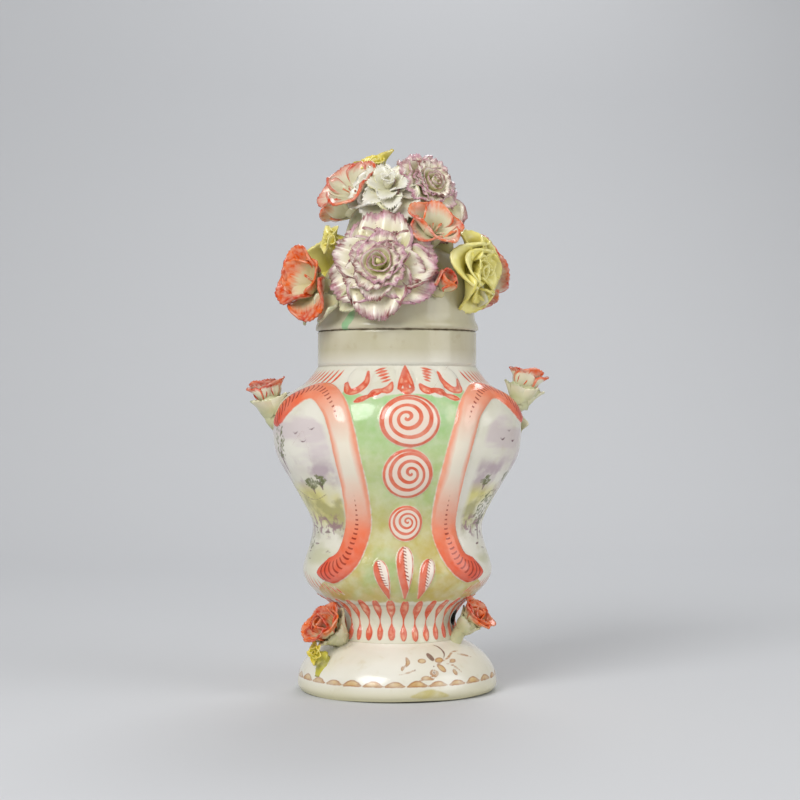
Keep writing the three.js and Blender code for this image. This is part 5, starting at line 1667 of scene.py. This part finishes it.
# The heads' whorls: petal, count and lean, then length, root and lift as shares of the size.
shoulder_petals = [("cup", 5, 30, 1.15, 0.12, -0.2), ("cup", 3, 14, 1.0, 0.08, -0.15)]
foot_petals = [("cup", 5, 40, 1.2, 0.12, -0.2), ("closed_cup", 3, 20, 1.0, 0.08, -0.15)]
calyx_flowers = [
    ("left_shoulder", 12, on_body(-90, 0.84), 5, (-90, 76), red_tipped, shoulder_petals),
    ("right_shoulder", 12, on_body(90, 0.86), 9, (90, 74), red_tipped, shoulder_petals),
    ("left_foot", 12, seat_on_foot(-62, 0.82), 10, (-56, 34), scarlet_edged, foot_petals),
    ("right_foot", 10, seat_on_foot(60, 0.92), 14, (58, 44), scarlet_edged, foot_petals),
]
for number, entry in enumerate(calyx_flowers):
    name, size, (seat, outward), stand_off, facing, glaze, petals = entry
    centre = seat + outward * stand_off
    turn = turned_to(direction_at(*facing))
    root = np.array(turn.inverted() @ Vector(seat - outward * calyx_root - centre))
    path = [root, [0, 0, -size], [0, 0, -size * 0.5], [0, 0, 0]]
    base = stalk(path, [3.8, size * 0.32, size * 0.42, size * 0.62], number, lip=1.6)
    sepals = [whorl("point", 5, 24, size * 1.1, size * 0.3, -size * 0.75, turn=15)]
    bloom(f"{name}_calyx", "vase", leaf_green, centre, turn, sepals, base, number)
    knob = stalk([[0, 0, -size * 0.3], [0, 0, 0], [0, 0, size * 0.3]], [1.4, 2.0, 1.0], number)
    whorls = [
        whorl(kind, count, lean, size * long, size * root_share, size * lift, turn=10 + 35 * k)
        for k, (kind, count, lean, long, root_share, lift) in enumerate(petals)
    ]
    bloom(f"{name}_head", "vase", glaze, centre, turn, whorls, knob, number + 60)

vase_flowers = [
    ("foot_yellow_flower", narcissus, 7, seat_on_foot(-60, 0.5), 5, (-56, 20), bright_yellow, 0),
    ("right_shoulder_leaf", leaf, 10, on_body(90, 0.72), 0.9, (90, 10), leaf_green, 180),
]
for number, entry in enumerate(vase_flowers):
    place_flower("vase", entry, number + 80)

for piece in petal_pieces.values():
    bpy.data.objects.remove(piece)

# Studio: a pale sheet of paper that runs up behind the vase, three large soft lamps and the
# camera at the height of the vase's middle.

paper_half_width = 2200
paper_front = -1200
paper_back = 1200
paper_top = 2400
bend_radius = 500
paper = bpy.data.materials.new("pale_backdrop_paper")
paper.use_nodes = True
paper_shader = paper.node_tree.nodes["Principled BSDF"]
paper_shader.inputs["Base Color"].default_value = linear("#d0d2d6")
paper_shader.inputs["Roughness"].default_value = 0.9
bend = np.radians(np.linspace(0, 90, 13))
curve = np.stack([np.sin(bend) - 1, 1 - np.cos(bend)], 1) * bend_radius + [paper_back, 0]
sweep = [[paper_front, 0], *curve, [paper_back, paper_top]]
sides = (-paper_half_width, paper_half_width)
strip = np.array([[[x, y, z] for y, z in sweep] for x in sides])
points, faces = rings_mesh(strip, closed=False)
faces = [face for face in faces if abs(face[0] - face[1]) == 1]
backdrop = make_piece("paper_sweep", points, faces, paper)
backdrop.data.flip_normals()
backdrop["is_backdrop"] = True

world = bpy.data.worlds.new("studio")
bpy.context.scene.world = world
world.use_nodes = True
world.node_tree.nodes["Background"].inputs["Color"].default_value = linear("#f5f3ee")
world.node_tree.nodes["Background"].inputs["Strength"].default_value = 0.37

# Lamps: name, place, width in metres and power in watts. All face the middle of the vase.
middle = Vector((0.0, 0.0, 0.15))
lamps = [
    ("key_lamp", (-0.75, -0.95, 0.85), 0.8, 12.8),
    ("fill_lamp", (0.95, -0.6, 0.45), 0.9, 4.4),
    ("back_lamp", (0.3, 0.9, 1.1), 0.7, 5.2),
]
for name, spot, size, power in lamps:
    lamp = bpy.data.lights.new(name, "AREA")
    lamp.shape = "DISK"
    lamp.size = size
    lamp.energy = power
    holder = bpy.data.objects.new(name, lamp)
    holder.location = spot
    holder.rotation_euler = (middle - Vector(spot)).to_track_quat("-Z", "Y").to_euler()
    bpy.context.scene.collection.objects.link(holder)

image_side = 800
focal_pixels = 1860.0
camera_distance = 0.93
camera_azimuth = -6.3
camera_height = 0.144
camera_offset = 0.0015
camera = bpy.data.cameras.new("camera")
camera.sensor_width = 36.0
camera.lens = focal_pixels / image_side * camera.sensor_width
turned = math.radians(camera_azimuth)
forward = Vector((-math.sin(turned), math.cos(turned), 0))
rightward = Vector((math.cos(turned), math.sin(turned), 0))
aim = Vector((0, 0, camera_height)) + rightward * camera_offset
eye = bpy.data.objects.new("camera", camera)
eye.location = aim - forward * camera_distance
eye.rotation_euler = forward.to_track_quat("-Z", "Y").to_euler()
bpy.context.scene.collection.objects.link(eye)
bpy.context.scene.camera = eye
bpy.context.scene.view_settings.view_transform = "Standard"

boxes = {"cad": cad_box, "visual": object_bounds()}
boxes = {name: [[float(v) for v in corner] for corner in box] for name, box in boxes.items()}
